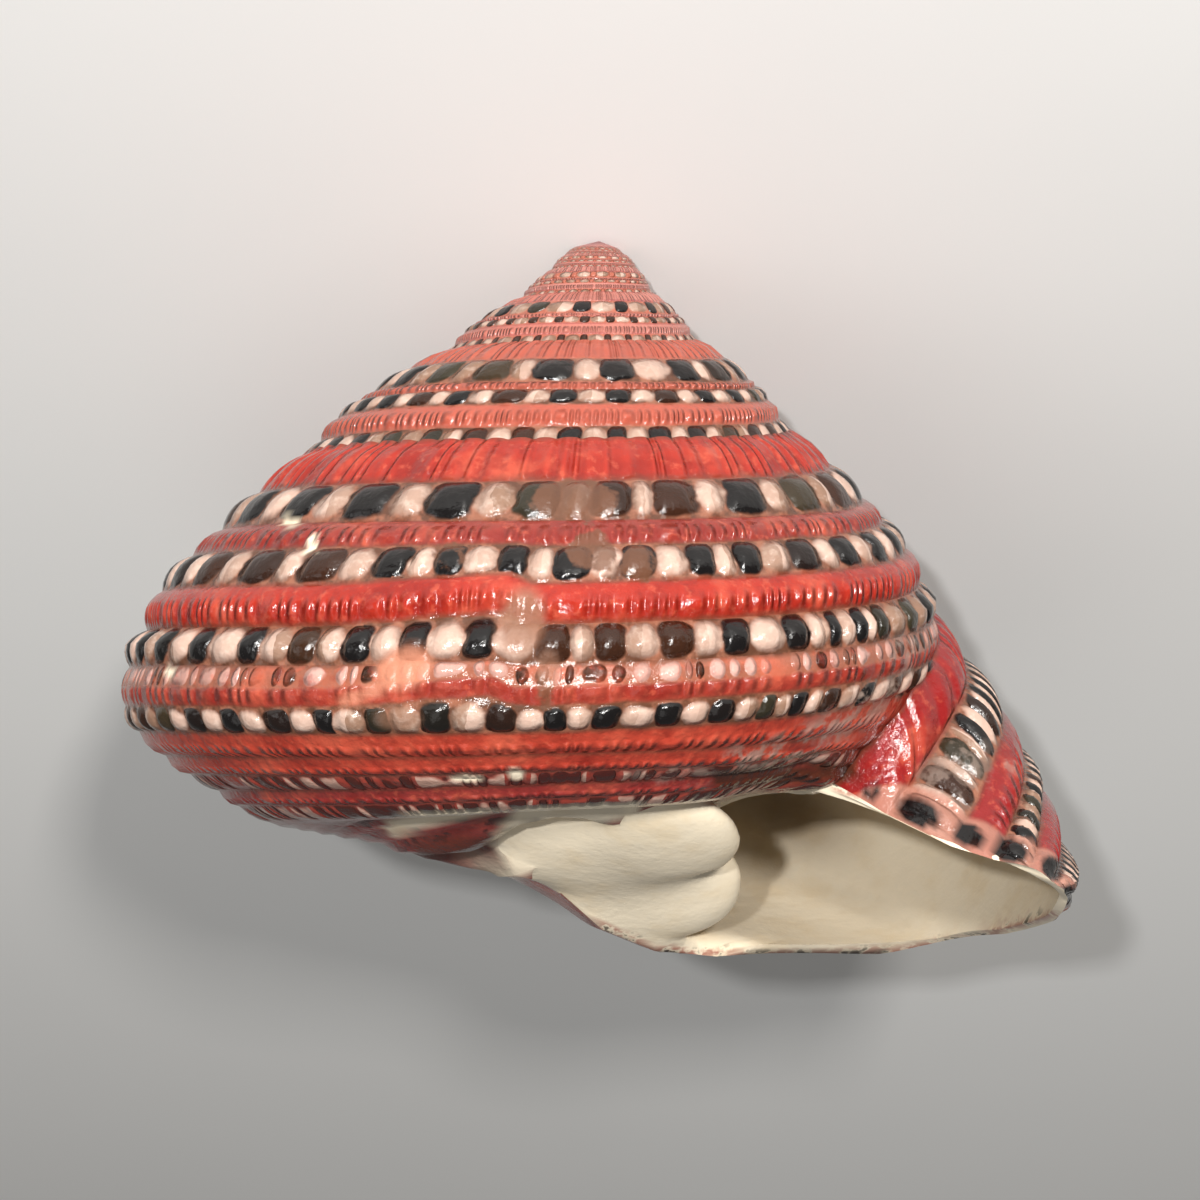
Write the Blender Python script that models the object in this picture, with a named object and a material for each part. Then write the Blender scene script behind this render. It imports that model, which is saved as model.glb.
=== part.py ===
"""Strawberry top shell: one small coiled sea-snail shell, grown in one piece.

The shell coils to the right. Its outside is one surface: a drawn profile of cords and bead rows is
carried round the axis turn after turn while it widens and sinks, each turn sitting on the one above.
Lengths are in millimetres until the very end. "Turn" counts whorls: 0 is close to the mouth, -1 is one
whorl earlier, and so on up to the tip. "Depth" is measured down the axis from the tip. The shell is
drawn with its tip up and its axis upright, and then laid on its back with the mouth facing up.
"""
import math

import bmesh
import bpy
import numpy as np
from mathutils import Matrix, Vector

PART_NAME = "strawberry_top_shell"
MM = 0.001

# Coiling: where the outermost cord runs, turn by turn (turn, radius, depth below the tip)
LIP_TURN = 0.012
MOUTH_AZIMUTH = -25.0
OUTER_CORD = (
    (-6.988, 0.186, 0.157), (-5.988, 0.335, 0.297), (-4.988, 0.618, 0.561),
    (-3.988, 1.167, 1.063), (-2.988, 2.251, 2.017), (-2.488, 3.151, 2.780),
    (-1.988, 4.410, 3.832), (-1.738, 5.185, 4.497), (-1.488, 6.021, 5.273),
    (-1.238, 6.866, 6.176), (-0.988, 7.698, 7.226), (-0.738, 8.544, 8.449),
    (-0.500, 9.345, 9.744), (-0.250, 10.14, 11.09), (-0.050, 10.77, 12.16),
    (0.012, 11.17, 12.29),
)
TIP_DEPTH = 0.02

# Rows between suture and outer cord: share of the way, and how far they stand off that line.
# Each has a second pair that adds to the first on the older, smaller whorls.
ROW_SHARES = (
    (0.0, 0.0, 0.0, 0.0),
    (0.246, 0.039, 0.016, 0.018),
    (0.440, 0.049, 0.060, 0.014),
    (0.592, 0.065, 0.000, 0.004),
    (0.767, 0.060, -0.020, 0.006),
    (0.913, 0.002, -0.011, 0.016),
    (1.0, 0.0, 0.0, 0.0),
)
AGE_ZERO, AGE_LEAST, AGE_MOST = -0.57, -0.5, 1.5

# The same rows close to the mouth, where the whorl droops (radius, depth)
DROOP_TURNS = (-0.039, 0.012)
DROOP_ROWS = (
    ((8.40, 8.66), (7.60, 11.19)),
    ((9.22, 9.49), (8.98, 11.62)),
    ((9.74, 10.35), (9.84, 11.84)),
    ((10.12, 10.84), (10.60, 12.02)),
    ((10.54, 11.76), (10.98, 12.18)),
)

# Rows under the outer cord, as shares of the suture-to-cord line (along it, square to it)
UNDER_SHARES = (
    (1.060, -0.040), (1.181, -0.128), (1.218, -0.232), (1.220, -0.369),
    (1.210, -0.486), (1.185, -0.608), (1.178, -0.705), (1.145, -0.834),
)
# The same rows near the mouth, as steps from the outer cord (outward, down)
UNDER_STEPS = (
    (0.00, 0.30), (-0.19, 0.88), (-0.42, 1.51), (-0.67, 2.06),
    (-0.88, 2.43), (-1.13, 2.79), (-1.49, 3.10), (-2.12, 3.43),
)
UNDER_CHANGE = (-0.60, -0.12)

# Base inside the last bead row: radii, and their depths at eight places round the last whorl
BASE_RADII = (4.62, 3.15, 1.68, 0.0)
AXIS_DEPTH = 13.61
BASE_TURNS = (-0.988, -0.82, -0.70, -0.594, -0.45, -0.32, -0.20, -0.10, 0.012)
BASE_DEPTHS = (
    (11.10, 11.30, 11.97, 12.85, 13.35, 14.28, 15.32, 15.40, 15.45),
    (11.87, 11.76, 12.71, 13.02, 13.40, 14.40, 15.22, 15.30, 15.34),
    (12.75, 12.66, 13.19, 13.27, 13.55, 14.20, 14.72, 14.70, 14.70),
)

# Where each row stops at the mouth, and where the suture leaves its line to dip down
ROW_ENDS = (
    0.012, 0.012, 0.012, 0.010, 0.006, 0.003, 0.0, -0.012, -0.030, -0.060,
    -0.085, -0.105, -0.120, -0.130, -0.140, -0.165, -0.180, -0.190, -0.190,
)
OUTER_ROW, DIP_ROW, AXIS_ROW = 6, 13, 18
DIP_TURNS = (-0.09, -0.06, -0.039, -0.015, 0.0, 0.012)
DIP_ROWS = (6.6, 7.1, 7.7, 8.5, 9.6, 13.0)
DIP_FIRST_STEP = 71
# Just behind the mouth the rows of the old whorl's base sit a little lower
SAG = 0.25
SAG_FROM = (-1.10, -1.00)
SAG_TO = (-0.95, -0.80)
SAG_ROWS = (0.0, 0.0, 0.2, 0.7, 1.0, 0.8, 1.0, 1.0)
# A thicker place on the old base, to which the corner of the lip is joined (outward, down)
CORNER_FROM = (-1.03, -0.995)
CORNER_TO = (-0.985, -0.95)
CORNER_STEPS = (
    (0.0, 0.0), (0.0, 0.0), (0.0, 0.0), (0.10, 0.10), (0.10, 0.16), (0.36, 0.31), (0.50, 0.31),
    (0.28, 0.18),
)

# Cords and beads: height of each row, and how much of it is lost between two beads
CORD_HEIGHTS = (
    0.12, 0.14, 0.10, 0.14, 0.18, 0.16, 0.16, 0.13, 0.13, 0.12, 0.12, 0.09, 0.08, 0.06,
)
BEAD_DIPS = (
    0.0, 0.9, 0.0, 0.9, 0.0, 0.7, 0.7, 0.0, 0.7, 0.0, 0.0, 0.0, 0.0, 0.0,
)
FULL_HEIGHT_RADIUS = 9.0

# How finely the surface is drawn
STEPS = 84
LAST_ROWS = (
    0, 0.5, 1, 1.5, 2, 2.5, 3, 3.5, 4, 4.5, 5, 6, 7, 7.5, 8, 8.5, 9, 9.5, 10, 10.5, 11,
    12, 13, 14, 15, 16, 16.5, 17, 18,
)
SPIRE_ROWS = (0, 0.5, 1, 1.5, 2, 2.5, 3, 3.5, 4, 4.5, 5, 6)
YOUNG_ROWS = (0, 1, 2, 4, 6)

# Rows that the face across the mouth joins, on the old whorl and on the lip
FACE_INNER_ROWS = (13, 13.1, 13.2, 13.3, 13.4, 13.5, 13.6, 13.8, 14, 14.5, 15, 16, 16.5, 17, 18)
FACE_OUTER_ROWS = (0, 1, 2, 3, 4, 5, 6, 8, 10, 12, 15, 16, 16.5, 17, 18)
FACE_SHARES = (0.0, 0.2, 0.4, 0.6, 0.8, 1.0)

# Umbilical groove between the two pale folds of the base: a short line, width and depth
GROOVE_FROM = (-2.0, -0.95)
GROOVE_TO = (0.3, -2.6)
GROOVE_WIDTH = 0.62
GROOVE_DEPTH = 0.55
GROOVE_FALL = 1.6
FOLD_HEIGHT = 0.16
FOLD_PLACE = 1.7
FOLD_SPREAD = 0.5

# Hollow inside the last whorl: wall left standing, and how close it comes to the axis (turn, radius)
LIP_WALL = 0.18
INNER_WALL = 0.36
WALL_CHANGE = (-0.30, 0.0)
OLD_WALL_COVER = 0.17
PILLAR_TURNS = (-0.80, -0.40, -0.25, -0.155, -0.07, -0.033, 0.003, 0.035)
PILLAR_RADII = (1.4, 1.8, 2.2, 2.5, 2.65, 3.05, 3.55, 3.95)
HOLLOW_TURNS = (
    -0.784, -0.738, -0.681, -0.613, -0.545, -0.477, -0.408, -0.340, -0.283, -0.227, -0.181,
    -0.136, -0.102, -0.068, -0.045, -0.033, -0.022, -0.011, 0.0, 0.012, 0.035,
)
HOLLOW_ROWS = (1.0, 1.6, 2.5, 3.6, 4.8, 6.0, 7.5, 9.0, 11.0, 13.0, 14.5)
HOLLOW_CORNER_ROW = 0.6
HOLLOW_CORNER_TURNS = (-0.012, 0.012)
# Just behind the lip the wall is thicker towards the suture, where the whorl droops
DROOP_WALL = 0.55
DROOP_WALL_ROWS = 3.0
DROOP_WALL_FROM = (-0.14, -0.06)
DROOP_WALL_TO = (-0.004, 0.016)
HOLLOW_OLD_ROWS = 4
HOLLOW_OLD_ROW, HOLLOW_LAST_ROW, ROWS_PAST_SUTURE = 14, 8.0, 0.7
HOLLOW_ROUNDING = (0.5, 0.45, 0.3, 0.2)
HOLLOW_TAPER = (-0.80, -0.45)
HOLLOW_END_SIZE = 0.3

# Tooth on the pillar and pad over the navel: middle (across, to the back, depth) and reach, and the
# slope of the mouth along which both lie
TOOTH_MIDDLE = (2.2, -2.0, 12.2)
TOOTH_REACH = (1.85, 2.1, 0.5)
PAD_MIDDLE = (0.75, -1.1, 12.93)
PAD_REACH = (2.0, 1.9, 0.4)
MOUTH_TILT = 33.0

# Lying on its back: turned over about the cross axis, and rubbed flat where it touches
LIE_TILT = 218.9
LIE_TURN = 180.0
WORN_DEPTH = 0.08
WORN_TOOL_SIZE = (30.0, 30.0, 5.0)
WELD_GAP = 0.002

# Surface: coral red with a moist shine
SHELL_COLOUR = (0.50, 0.16, 0.13, 1.0)
SHELL_ROUGHNESS = 0.35
SHARP_ANGLE = 40.0


def smooth_through(places, values, at):
    """Value at a place on a curve through known points that never overshoots them."""
    x = np.asarray(places, float)
    y = np.asarray(values, float)
    gaps = np.diff(x)
    rises = np.diff(y) / gaps
    slopes = np.zeros(len(x))
    slopes[0] = rises[0]
    slopes[-1] = rises[-1]
    for k in range(1, len(x) - 1):
        if rises[k - 1] * rises[k] > 0:
            first = 2 * gaps[k] + gaps[k - 1]
            second = gaps[k] + 2 * gaps[k - 1]
            slopes[k] = (first + second) / (first / rises[k - 1] + second / rises[k])
    at = min(max(at, x[0]), x[-1])
    k = min(int(np.searchsorted(x, at, side="right")) - 1, len(gaps) - 1)
    u = (at - x[k]) / gaps[k]
    from_start = (1 + 2 * u) * (1 - u) ** 2 * y[k] + u * (1 - u) ** 2 * gaps[k] * slopes[k]
    from_end = u * u * (3 - 2 * u) * y[k + 1] + u * u * (u - 1) * gaps[k] * slopes[k + 1]
    return from_start + from_end


def ease(value, start, end):
    """0 before start, 1 after end, a soft step between."""
    u = min(max((value - start) / (end - start), 0.0), 1.0)
    return u * u * (3 - 2 * u)


CORD_TURNS = [row[0] for row in OUTER_CORD]
CORD_LOG_RADII = [math.log(row[1]) for row in OUTER_CORD]
CORD_LOG_DEPTHS = [math.log(row[2]) for row in OUTER_CORD]


def outer_cord(turn):
    """Radius and depth of the outermost cord at one turn."""
    radius = math.exp(smooth_through(CORD_TURNS, CORD_LOG_RADII, turn))
    depth = math.exp(smooth_through(CORD_TURNS, CORD_LOG_DEPTHS, turn))
    return np.array((radius, depth))


def upper_row(turn, row, start, line):
    """A row border between suture and outer cord, as a point (radius, depth)."""
    age = min(max(AGE_ZERO - turn, AGE_LEAST), AGE_MOST)
    share, stand, share_more, stand_more = ROW_SHARES[row]
    share += share_more * age
    stand += stand_more * age
    return start + share * line + stand * np.array((line[1], -line[0]))


def under_row(turn, row, start, line, cord):
    """A row border under the outer cord, as a point (radius, depth)."""
    share, stand = UNDER_SHARES[row - OUTER_ROW - 1]
    older = start + share * line + stand * np.array((line[1], -line[0]))
    newer = cord + np.array(UNDER_STEPS[row - OUTER_ROW - 1])
    change = ease(turn, *UNDER_CHANGE)
    point = older * (1 - change) + newer * change
    sag = ease(turn, *SAG_FROM) * (1 - ease(turn, *SAG_TO))
    point[1] += SAG * SAG_ROWS[row - OUTER_ROW - 1] * sag
    swell = ease(turn, *CORNER_FROM) * (1 - ease(turn, *CORNER_TO))
    return point + swell * np.array(CORNER_STEPS[row - OUTER_ROW - 1])


def border(turn, row):
    """Any whole-numbered row border at one turn, as a point (radius, depth)."""
    last_cord_row = OUTER_ROW + len(UNDER_STEPS)
    if row > last_cord_row:
        radius = BASE_RADII[row - last_cord_row - 1]
        if radius == 0.0:
            return np.array((0.0, AXIS_DEPTH))
        depths = BASE_DEPTHS[row - last_cord_row - 1]
        return np.array((radius, smooth_through(BASE_TURNS, depths, turn)))
    start = outer_cord(turn - 1)
    cord = outer_cord(turn)
    line = cord - start
    if row > OUTER_ROW:
        return under_row(turn, row, start, line, cord)
    if row == OUTER_ROW:
        return cord
    if turn <= dip_start():
        return upper_row(turn, row, start, line)
    if row == 0:
        return outline(turn - 1, dip_row(turn))
    first = dip_start()
    first_start = outer_cord(first - 1)
    first_line = outer_cord(first) - first_start
    drawn = [upper_row(first, row, first_start, first_line)]
    drawn += [np.array(point) for point in DROOP_ROWS[row - 1]]
    turns = (first,) + DROOP_TURNS
    radius = smooth_through(turns, [p[0] for p in drawn], turn)
    depth = smooth_through(turns, [p[1] for p in drawn], turn)
    return np.array((radius, depth))


def dip_start():
    """Turn at which the suture starts to dip."""
    return LIP_TURN - 1 + DIP_FIRST_STEP / STEPS


def dip_row(turn):
    """Row of the whorl above on which the suture sits at one turn."""
    turns = (dip_start(),) + DIP_TURNS
    return smooth_through(turns, (float(OUTER_ROW),) + DIP_ROWS, turn)


def outline(turn, row):
    """Bare surface without cords: point (radius, depth) at any row, also between borders."""
    low = min(int(row), AXIS_ROW - 1)
    part = row - low
    if part < 1e-9:
        return border(turn, low)
    return border(turn, low) * (1 - part) + border(turn, low + 1) * part


def cord_lift(turn, row, step):
    """Height of cord or bead at a row, measured square to the surface."""
    band = int(row)
    if band >= len(CORD_HEIGHTS):
        return 0.0
    part = row - band
    rise = math.sin(math.pi * part)
    if band in (5, 6):
        rise = math.sin(math.pi * (row - 5) / 2)
    keep = 1.0
    if step % 2:
        keep -= BEAD_DIPS[band]
    size = min(outer_cord(turn)[0] / FULL_HEIGHT_RADIUS, 1.0)
    return CORD_HEIGHTS[band] * rise * keep * size


def place(turn, row, step=0):
    """Point on the finished outside, in millimetres, tip at zero and axis upright."""
    if row == 0:
        return place(turn - 1, dip_row(turn))
    middle = outline(turn, row)
    ahead = outline(turn, min(row + 0.02, AXIS_ROW))
    behind = outline(turn, max(row - 0.02, 0))
    run = ahead - behind
    length = math.hypot(run[0], run[1])
    lift = cord_lift(turn, row, step)
    if length > 0:
        middle = middle + lift * np.array((run[1], -run[0])) / length
    return turned(middle[0], turn, middle[1])


def turned(radius, turn, depth):
    """Point at a radius and depth, at the azimuth that belongs to a turn."""
    angle = math.radians(MOUTH_AZIMUTH - 360 * turn)
    spot = Vector((radius * math.cos(angle), radius * math.sin(angle), -depth))
    if turn > -1.2 and radius < BASE_RADII[0]:
        spot.z += groove_at(spot.x, spot.y)
    return spot


def groove_at(across, back):
    """Rise of the base at the umbilical groove, with a fold along each side."""
    start = np.array(GROOVE_FROM)
    run = np.array(GROOVE_TO) - start
    away = np.array((across, back)) - start
    share = min(max(float(away @ run) / float(run @ run), 0.0), 1.0)
    gap = float(np.linalg.norm(away - share * run)) / GROOVE_WIDTH
    hollow = GROOVE_DEPTH * math.exp(-gap * gap * GROOVE_FALL)
    fold = FOLD_HEIGHT * math.exp(-((gap - FOLD_PLACE) / FOLD_SPREAD) ** 2)
    return hollow - fold


def sheet(bm, turns, rows, where):
    """Grid of quads; each corner is moved to where(turn number i, row number j)."""
    across = len(turns) - 1
    down = len(rows) - 1
    made = bmesh.ops.create_grid(bm, x_segments=across, y_segments=down, size=1.0)
    corners = {}
    for vert in made["verts"]:
        i = round((vert.co.x + 1) / 2 * across)
        j = round((vert.co.y + 1) / 2 * down)
        corners[i, j] = vert
    for (i, j), vert in corners.items():
        vert.co = where(turns[i], rows[j], i)
    return corners


def match_edge(bm, first, second, spots):
    """Cut one grid edge so that it meets a finer neighbour at the given spots."""
    here = first
    for spot in spots:
        edge = bm.edges.get((here, second))
        _, here = bmesh.utils.edge_split(edge, here, 0.5)
        here.co = spot


def whorl_turns(back, steps):
    """Evenly spaced turns of the whorl that lies so many whorls back from the mouth."""
    first = LIP_TURN - 1 - back
    return [first + i / steps for i in range(steps + 1)]


def finer_rows(rows, low, high):
    """Rows strictly between two others."""
    return [row for row in rows if low < row < high]


def add_whorl(bm, back, steps, rows, next_steps, next_rows):
    """One spire whorl, its lower edge and its last column cut to meet the next whorl."""
    turns = whorl_turns(back, steps)
    corners = sheet(bm, turns, rows, lambda t, r, i: place(t, r, i if r < rows[-1] else 0))
    finer = next_steps // steps
    if finer > 1:
        for i in range(steps):
            first = corners[i, len(rows) - 1]
            second = corners[i + 1, len(rows) - 1]
            between = [turns[i] + k / next_steps for k in range(1, finer)]
            match_edge(bm, first, second, [place(t, rows[-1]) for t in between])
    for j in range(len(rows) - 1):
        between = finer_rows(next_rows, rows[j], rows[j + 1])
        if between:
            spots = [place(turns[-1], row) for row in between]
            match_edge(bm, corners[steps, j], corners[steps, j + 1], spots)
    return corners


def row_end(row):
    """Turn at which a row stops at the mouth."""
    return smooth_through(range(len(ROW_ENDS)), ROW_ENDS, row)


def last_place(turn, row, step):
    """Point of the last whorl; its rows are cut off along the slanting mouth."""
    first = LIP_TURN - 1
    part = turn - first
    return place(first + part * (row_end(row) - first), row, step)


def dipped_place(turn, row, step):
    """Point of the old whorl left bare by the dipping suture."""
    share = (row - OUTER_ROW) / (DIP_ROW - OUTER_ROW)
    reach = OUTER_ROW + share * (dip_row(turn) - OUTER_ROW)
    return place(turn - 1, reach, step if OUTER_ROW < row < DIP_ROW else 0)


def fan(bm, loop, spot):
    """Close a loop of corners with triangles that meet at one spot."""
    hub = bm.verts.new(spot)
    for k, vert in enumerate(loop):
        other = loop[(k + 1) % len(loop)]
        if vert is not other:
            bm.faces.new((vert, other, hub))


def add_outside(bm):
    """All whorls, the bare patch under the dipping suture and the mouth face."""
    half, quarter = STEPS // 2, STEPS // 4
    plan = ((5, quarter, YOUNG_ROWS), (4, quarter, YOUNG_ROWS), (3, half, YOUNG_ROWS),
            (2, half, SPIRE_ROWS), (1, STEPS, SPIRE_ROWS))
    follow = plan[1:] + ((0, STEPS, LAST_ROWS),)
    first = None
    for (back, steps, rows), (_, next_steps, next_rows) in zip(plan, follow):
        made = add_whorl(bm, back, steps, rows, next_steps, next_rows)
        if first is None:
            first = made
            tip_loop = [made[i, 0] for i in range(steps)]
            tip_loop += [made[steps, 0]]
            tip_loop += [made[0, j] for j in range(len(rows) - 2, 0, -1)]
    turns = whorl_turns(0, STEPS)
    last = sheet(bm, turns, LAST_ROWS, last_place)
    for j in range(len(LAST_ROWS) - 1):
        between = [r for r in FACE_INNER_ROWS if LAST_ROWS[j] < r < LAST_ROWS[j + 1]]
        spots = [last_place(turns[0], row, 0) for row in between]
        match_edge(bm, last[0, j], last[0, j + 1], spots)
    patch_rows = [row for row in LAST_ROWS if OUTER_ROW <= row <= DIP_ROW]
    sheet(bm, turns[DIP_FIRST_STEP:], patch_rows,
          lambda t, r, i: dipped_place(t, r, i + DIP_FIRST_STEP))
    add_mouth_face(bm)
    fan(bm, tip_loop, Vector((0, 0, -TIP_DEPTH)))
    bmesh.ops.remove_doubles(bm, verts=bm.verts, dist=1e-4)


def mouth_face_place(share, index):
    """Point of the face that closes the mouth, between its inner and its outer edge."""
    start = last_place(LIP_TURN - 1, FACE_INNER_ROWS[index], 0)
    end = last_place(LIP_TURN, FACE_OUTER_ROWS[index], STEPS)
    return start.lerp(end, share)


def add_mouth_face(bm):
    """Face across the mouth, from the old whorl's base to the lip."""
    rows = range(len(FACE_INNER_ROWS))
    corners = sheet(bm, FACE_SHARES, list(rows), lambda s, j, i: mouth_face_place(s, j))
    last = len(FACE_SHARES) - 1
    for j in rows[:-1]:
        low, high = FACE_OUTER_ROWS[j], FACE_OUTER_ROWS[j + 1]
        between = finer_rows(LAST_ROWS, low, high)
        if between:
            spots = [last_place(LIP_TURN, row, STEPS) for row in between]
            match_edge(bm, corners[last, j], corners[last, j + 1], spots)


def side_step(turn, row, distance):
    """Point beside the bare surface: outside it for a positive distance, inside for a negative."""
    here = outline(turn, row)
    run = outline(turn, min(row + 0.3, AXIS_ROW)) - outline(turn, max(row - 0.3, 0))
    return here + distance * np.array((run[1], -run[0])) / math.hypot(run[0], run[1])


def hollow_section(turn):
    """Loop of points (radius, depth) round the hollow at one turn."""
    drawn = min(turn, LIP_TURN)
    wall = INNER_WALL + (LIP_WALL - INNER_WALL) * ease(drawn, *WALL_CHANGE)
    corner = ease(drawn, *HOLLOW_CORNER_TURNS)
    first = HOLLOW_ROWS[0] + (HOLLOW_CORNER_ROW - HOLLOW_ROWS[0]) * corner
    droop = DROOP_WALL * ease(turn, *DROOP_WALL_FROM) * (1 - ease(turn, *DROOP_WALL_TO))
    loop = []
    for row in (first,) + HOLLOW_ROWS[1:]:
        more = droop * max(1 - row / DROOP_WALL_ROWS, 0.0)
        loop.append(side_step(drawn, row, -wall - more))
    pillar = smooth_through(PILLAR_TURNS, PILLAR_RADII, turn)
    floor = loop[-1][1]
    old = side_step(drawn - 1, HOLLOW_OLD_ROW, OLD_WALL_COVER)
    low_in, low_up, high_out, high_down = HOLLOW_ROUNDING
    loop += [np.array((pillar + low_in, floor)), np.array((pillar, floor - low_up))]
    loop += [np.array((pillar, (floor + old[1]) / 2))]
    loop += [np.array((min(pillar + high_out, old[0]), old[1] + high_down))]
    nearest = max(dip_row(drawn) + ROWS_PAST_SUTURE, HOLLOW_LAST_ROW)
    for k in range(HOLLOW_OLD_ROWS):
        row = HOLLOW_OLD_ROW + (nearest - HOLLOW_OLD_ROW) * k / (HOLLOW_OLD_ROWS - 1)
        loop.append(side_step(drawn - 1, row, OLD_WALL_COVER))
    size = HOLLOW_END_SIZE + (1 - HOLLOW_END_SIZE) * ease(turn, *HOLLOW_TAPER)
    centre = sum(loop) / len(loop)
    return [centre + (point - centre) * size for point in loop]


def add_hollow(bm):
    """Closed body that is cut out of the last whorl."""
    sections = [hollow_section(turn) for turn in HOLLOW_TURNS]
    count = len(sections[0])

    def where(number, j, i):
        point = sections[number][j % count]
        angle = math.radians(MOUTH_AZIMUTH - 360 * HOLLOW_TURNS[number])
        return Vector((point[0] * math.cos(angle), point[0] * math.sin(angle), -point[1]))

    sheet(bm, list(range(len(sections))), list(range(count + 1)), where)
    bmesh.ops.remove_doubles(bm, verts=bm.verts, dist=1e-4)
    edges = [edge for edge in bm.edges if edge.is_boundary]
    made = bmesh.ops.holes_fill(bm, edges=edges, sides=0)
    bmesh.ops.poke(bm, faces=made["faces"])


def add_lump(bm, middle, reach):
    """Flattened ball lying along the slope of the mouth."""
    bmesh.ops.create_uvsphere(bm, u_segments=16, v_segments=8, radius=1.0)
    size = Matrix.Diagonal(Vector(reach).to_4d())
    tilt = Matrix.Rotation(-math.radians(MOUTH_TILT), 4, "X")
    across, back, depth = middle
    move = Matrix.Translation(Vector((across, back, -depth)))
    bmesh.ops.transform(bm, matrix=move @ tilt @ size, verts=bm.verts)


def add_tooth(bm):
    """Rounded tooth that swells from the pillar into the mouth."""
    add_lump(bm, TOOTH_MIDDLE, TOOTH_REACH)


def add_pad(bm):
    """Smooth pad of shell that covers the navel beside the tooth."""
    add_lump(bm, PAD_MIDDLE, PAD_REACH)


def add_worn_tool(bm):
    """Box whose top is the surface the shell lies on."""
    bmesh.ops.create_cube(bm, size=1.0)
    across, back, high = WORN_TOOL_SIZE
    bmesh.ops.scale(bm, vec=WORN_TOOL_SIZE, verts=bm.verts)
    bmesh.ops.translate(bm, vec=(0, 0, -high / 2), verts=bm.verts)


def body_from(name, add, home):
    """New object holding what the given step adds, in metres and closed."""
    bm = bmesh.new()
    add(bm)
    bmesh.ops.recalc_face_normals(bm, faces=bm.faces)
    bmesh.ops.scale(bm, vec=(MM, MM, MM), verts=bm.verts)
    for face in bm.faces:
        face.smooth = True
    mesh = bpy.data.meshes.new(name)
    bm.to_mesh(mesh)
    bm.free()
    mesh.set_sharp_from_angle(angle=math.radians(SHARP_ANGLE))
    body = bpy.data.objects.new(name, mesh)
    home.objects.link(body)
    return body


def combine(body, other, operation):
    """Add a live Boolean step to the body."""
    step = body.modifiers.new(other.name, "BOOLEAN")
    step.operation = operation
    step.solver = "MANIFOLD"
    step.object = other


def shell_material():
    """Plain coral-red surface."""
    material = bpy.data.materials.new("shell")
    material.use_nodes = True
    surface = material.node_tree.nodes["Principled BSDF"]
    surface.inputs["Base Color"].default_value = SHELL_COLOUR
    surface.inputs["Roughness"].default_value = SHELL_ROUGHNESS
    surface.inputs["Metallic"].default_value = 0.0
    return material


def lie_down(bodies, outside):
    """Turn the bodies over and set them down, with the outside's worn spots on the floor."""
    turn = Matrix.Rotation(math.radians(LIE_TURN), 3, "Z")
    pose = turn @ Matrix.Rotation(math.radians(LIE_TILT), 3, "X")
    spots = [pose @ vert.co for vert in outside.data.vertices]
    low = [min(spot[k] for spot in spots) for k in range(3)]
    high = [max(spot[k] for spot in spots) for k in range(3)]
    place_at = (-(low[0] + high[0]) / 2, -(low[1] + high[1]) / 2, -low[2] - WORN_DEPTH * MM)
    for body in bodies:
        body.rotation_euler = pose.to_euler()
        body.location = place_at


def build():
    for thing in list(bpy.data.objects):
        bpy.data.objects.remove(thing)
    home = bpy.data.collections.new(PART_NAME)
    tools = bpy.data.collections.new("cutters")
    for group in (home, tools):
        bpy.context.scene.collection.children.link(group)
    shell = body_from("shell", add_outside, home)
    hollow = body_from("hollow", add_hollow, tools)
    tooth = body_from("tooth", add_tooth, tools)
    pad = body_from("pad", add_pad, tools)
    worn = body_from("worn spots", add_worn_tool, tools)
    shell.data.materials.append(shell_material())
    combine(shell, hollow, "DIFFERENCE")
    combine(shell, tooth, "UNION")
    combine(shell, pad, "UNION")
    combine(shell, worn, "DIFFERENCE")
    weld = shell.modifiers.new("weld", "WELD")
    weld.merge_threshold = WELD_GAP * MM
    lie_down((shell, hollow, tooth, pad), shell)
    for helper in (hollow, tooth, pad, worn):
        helper.hide_render = True
        helper.display_type = "WIRE"


build()
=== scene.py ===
# %% [markdown]
# # A strawberry top shell
# A small sea-snail shell, about 20 mm across, that lies on its back with its mouth facing up. We build
# its surface far more finely than the CAD solid, along the same drawn whorls, then cut out the mouth,
# paint it with procedural materials, and light it softly on a pale floor.

# %% Load the frame
import math

import bmesh
import bpy
import numpy as np
from mathutils import Matrix, Vector


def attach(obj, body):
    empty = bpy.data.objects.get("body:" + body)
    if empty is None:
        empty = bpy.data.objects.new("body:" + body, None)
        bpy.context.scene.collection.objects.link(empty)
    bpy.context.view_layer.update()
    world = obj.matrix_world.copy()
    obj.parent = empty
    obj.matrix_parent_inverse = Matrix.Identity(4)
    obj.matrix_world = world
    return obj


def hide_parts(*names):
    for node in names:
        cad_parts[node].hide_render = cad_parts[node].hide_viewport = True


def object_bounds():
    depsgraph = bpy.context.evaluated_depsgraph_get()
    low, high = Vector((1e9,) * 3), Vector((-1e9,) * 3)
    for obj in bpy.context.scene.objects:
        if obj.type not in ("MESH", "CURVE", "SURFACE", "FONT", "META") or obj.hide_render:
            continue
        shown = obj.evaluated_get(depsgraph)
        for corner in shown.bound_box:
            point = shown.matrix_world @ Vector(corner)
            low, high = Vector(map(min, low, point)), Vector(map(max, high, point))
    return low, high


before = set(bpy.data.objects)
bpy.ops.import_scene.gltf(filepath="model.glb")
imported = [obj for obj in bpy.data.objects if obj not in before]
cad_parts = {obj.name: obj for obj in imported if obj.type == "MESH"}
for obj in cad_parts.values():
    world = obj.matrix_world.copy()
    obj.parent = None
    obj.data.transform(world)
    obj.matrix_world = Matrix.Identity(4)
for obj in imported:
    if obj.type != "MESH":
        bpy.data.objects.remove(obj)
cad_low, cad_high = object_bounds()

MM = 0.001
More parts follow.
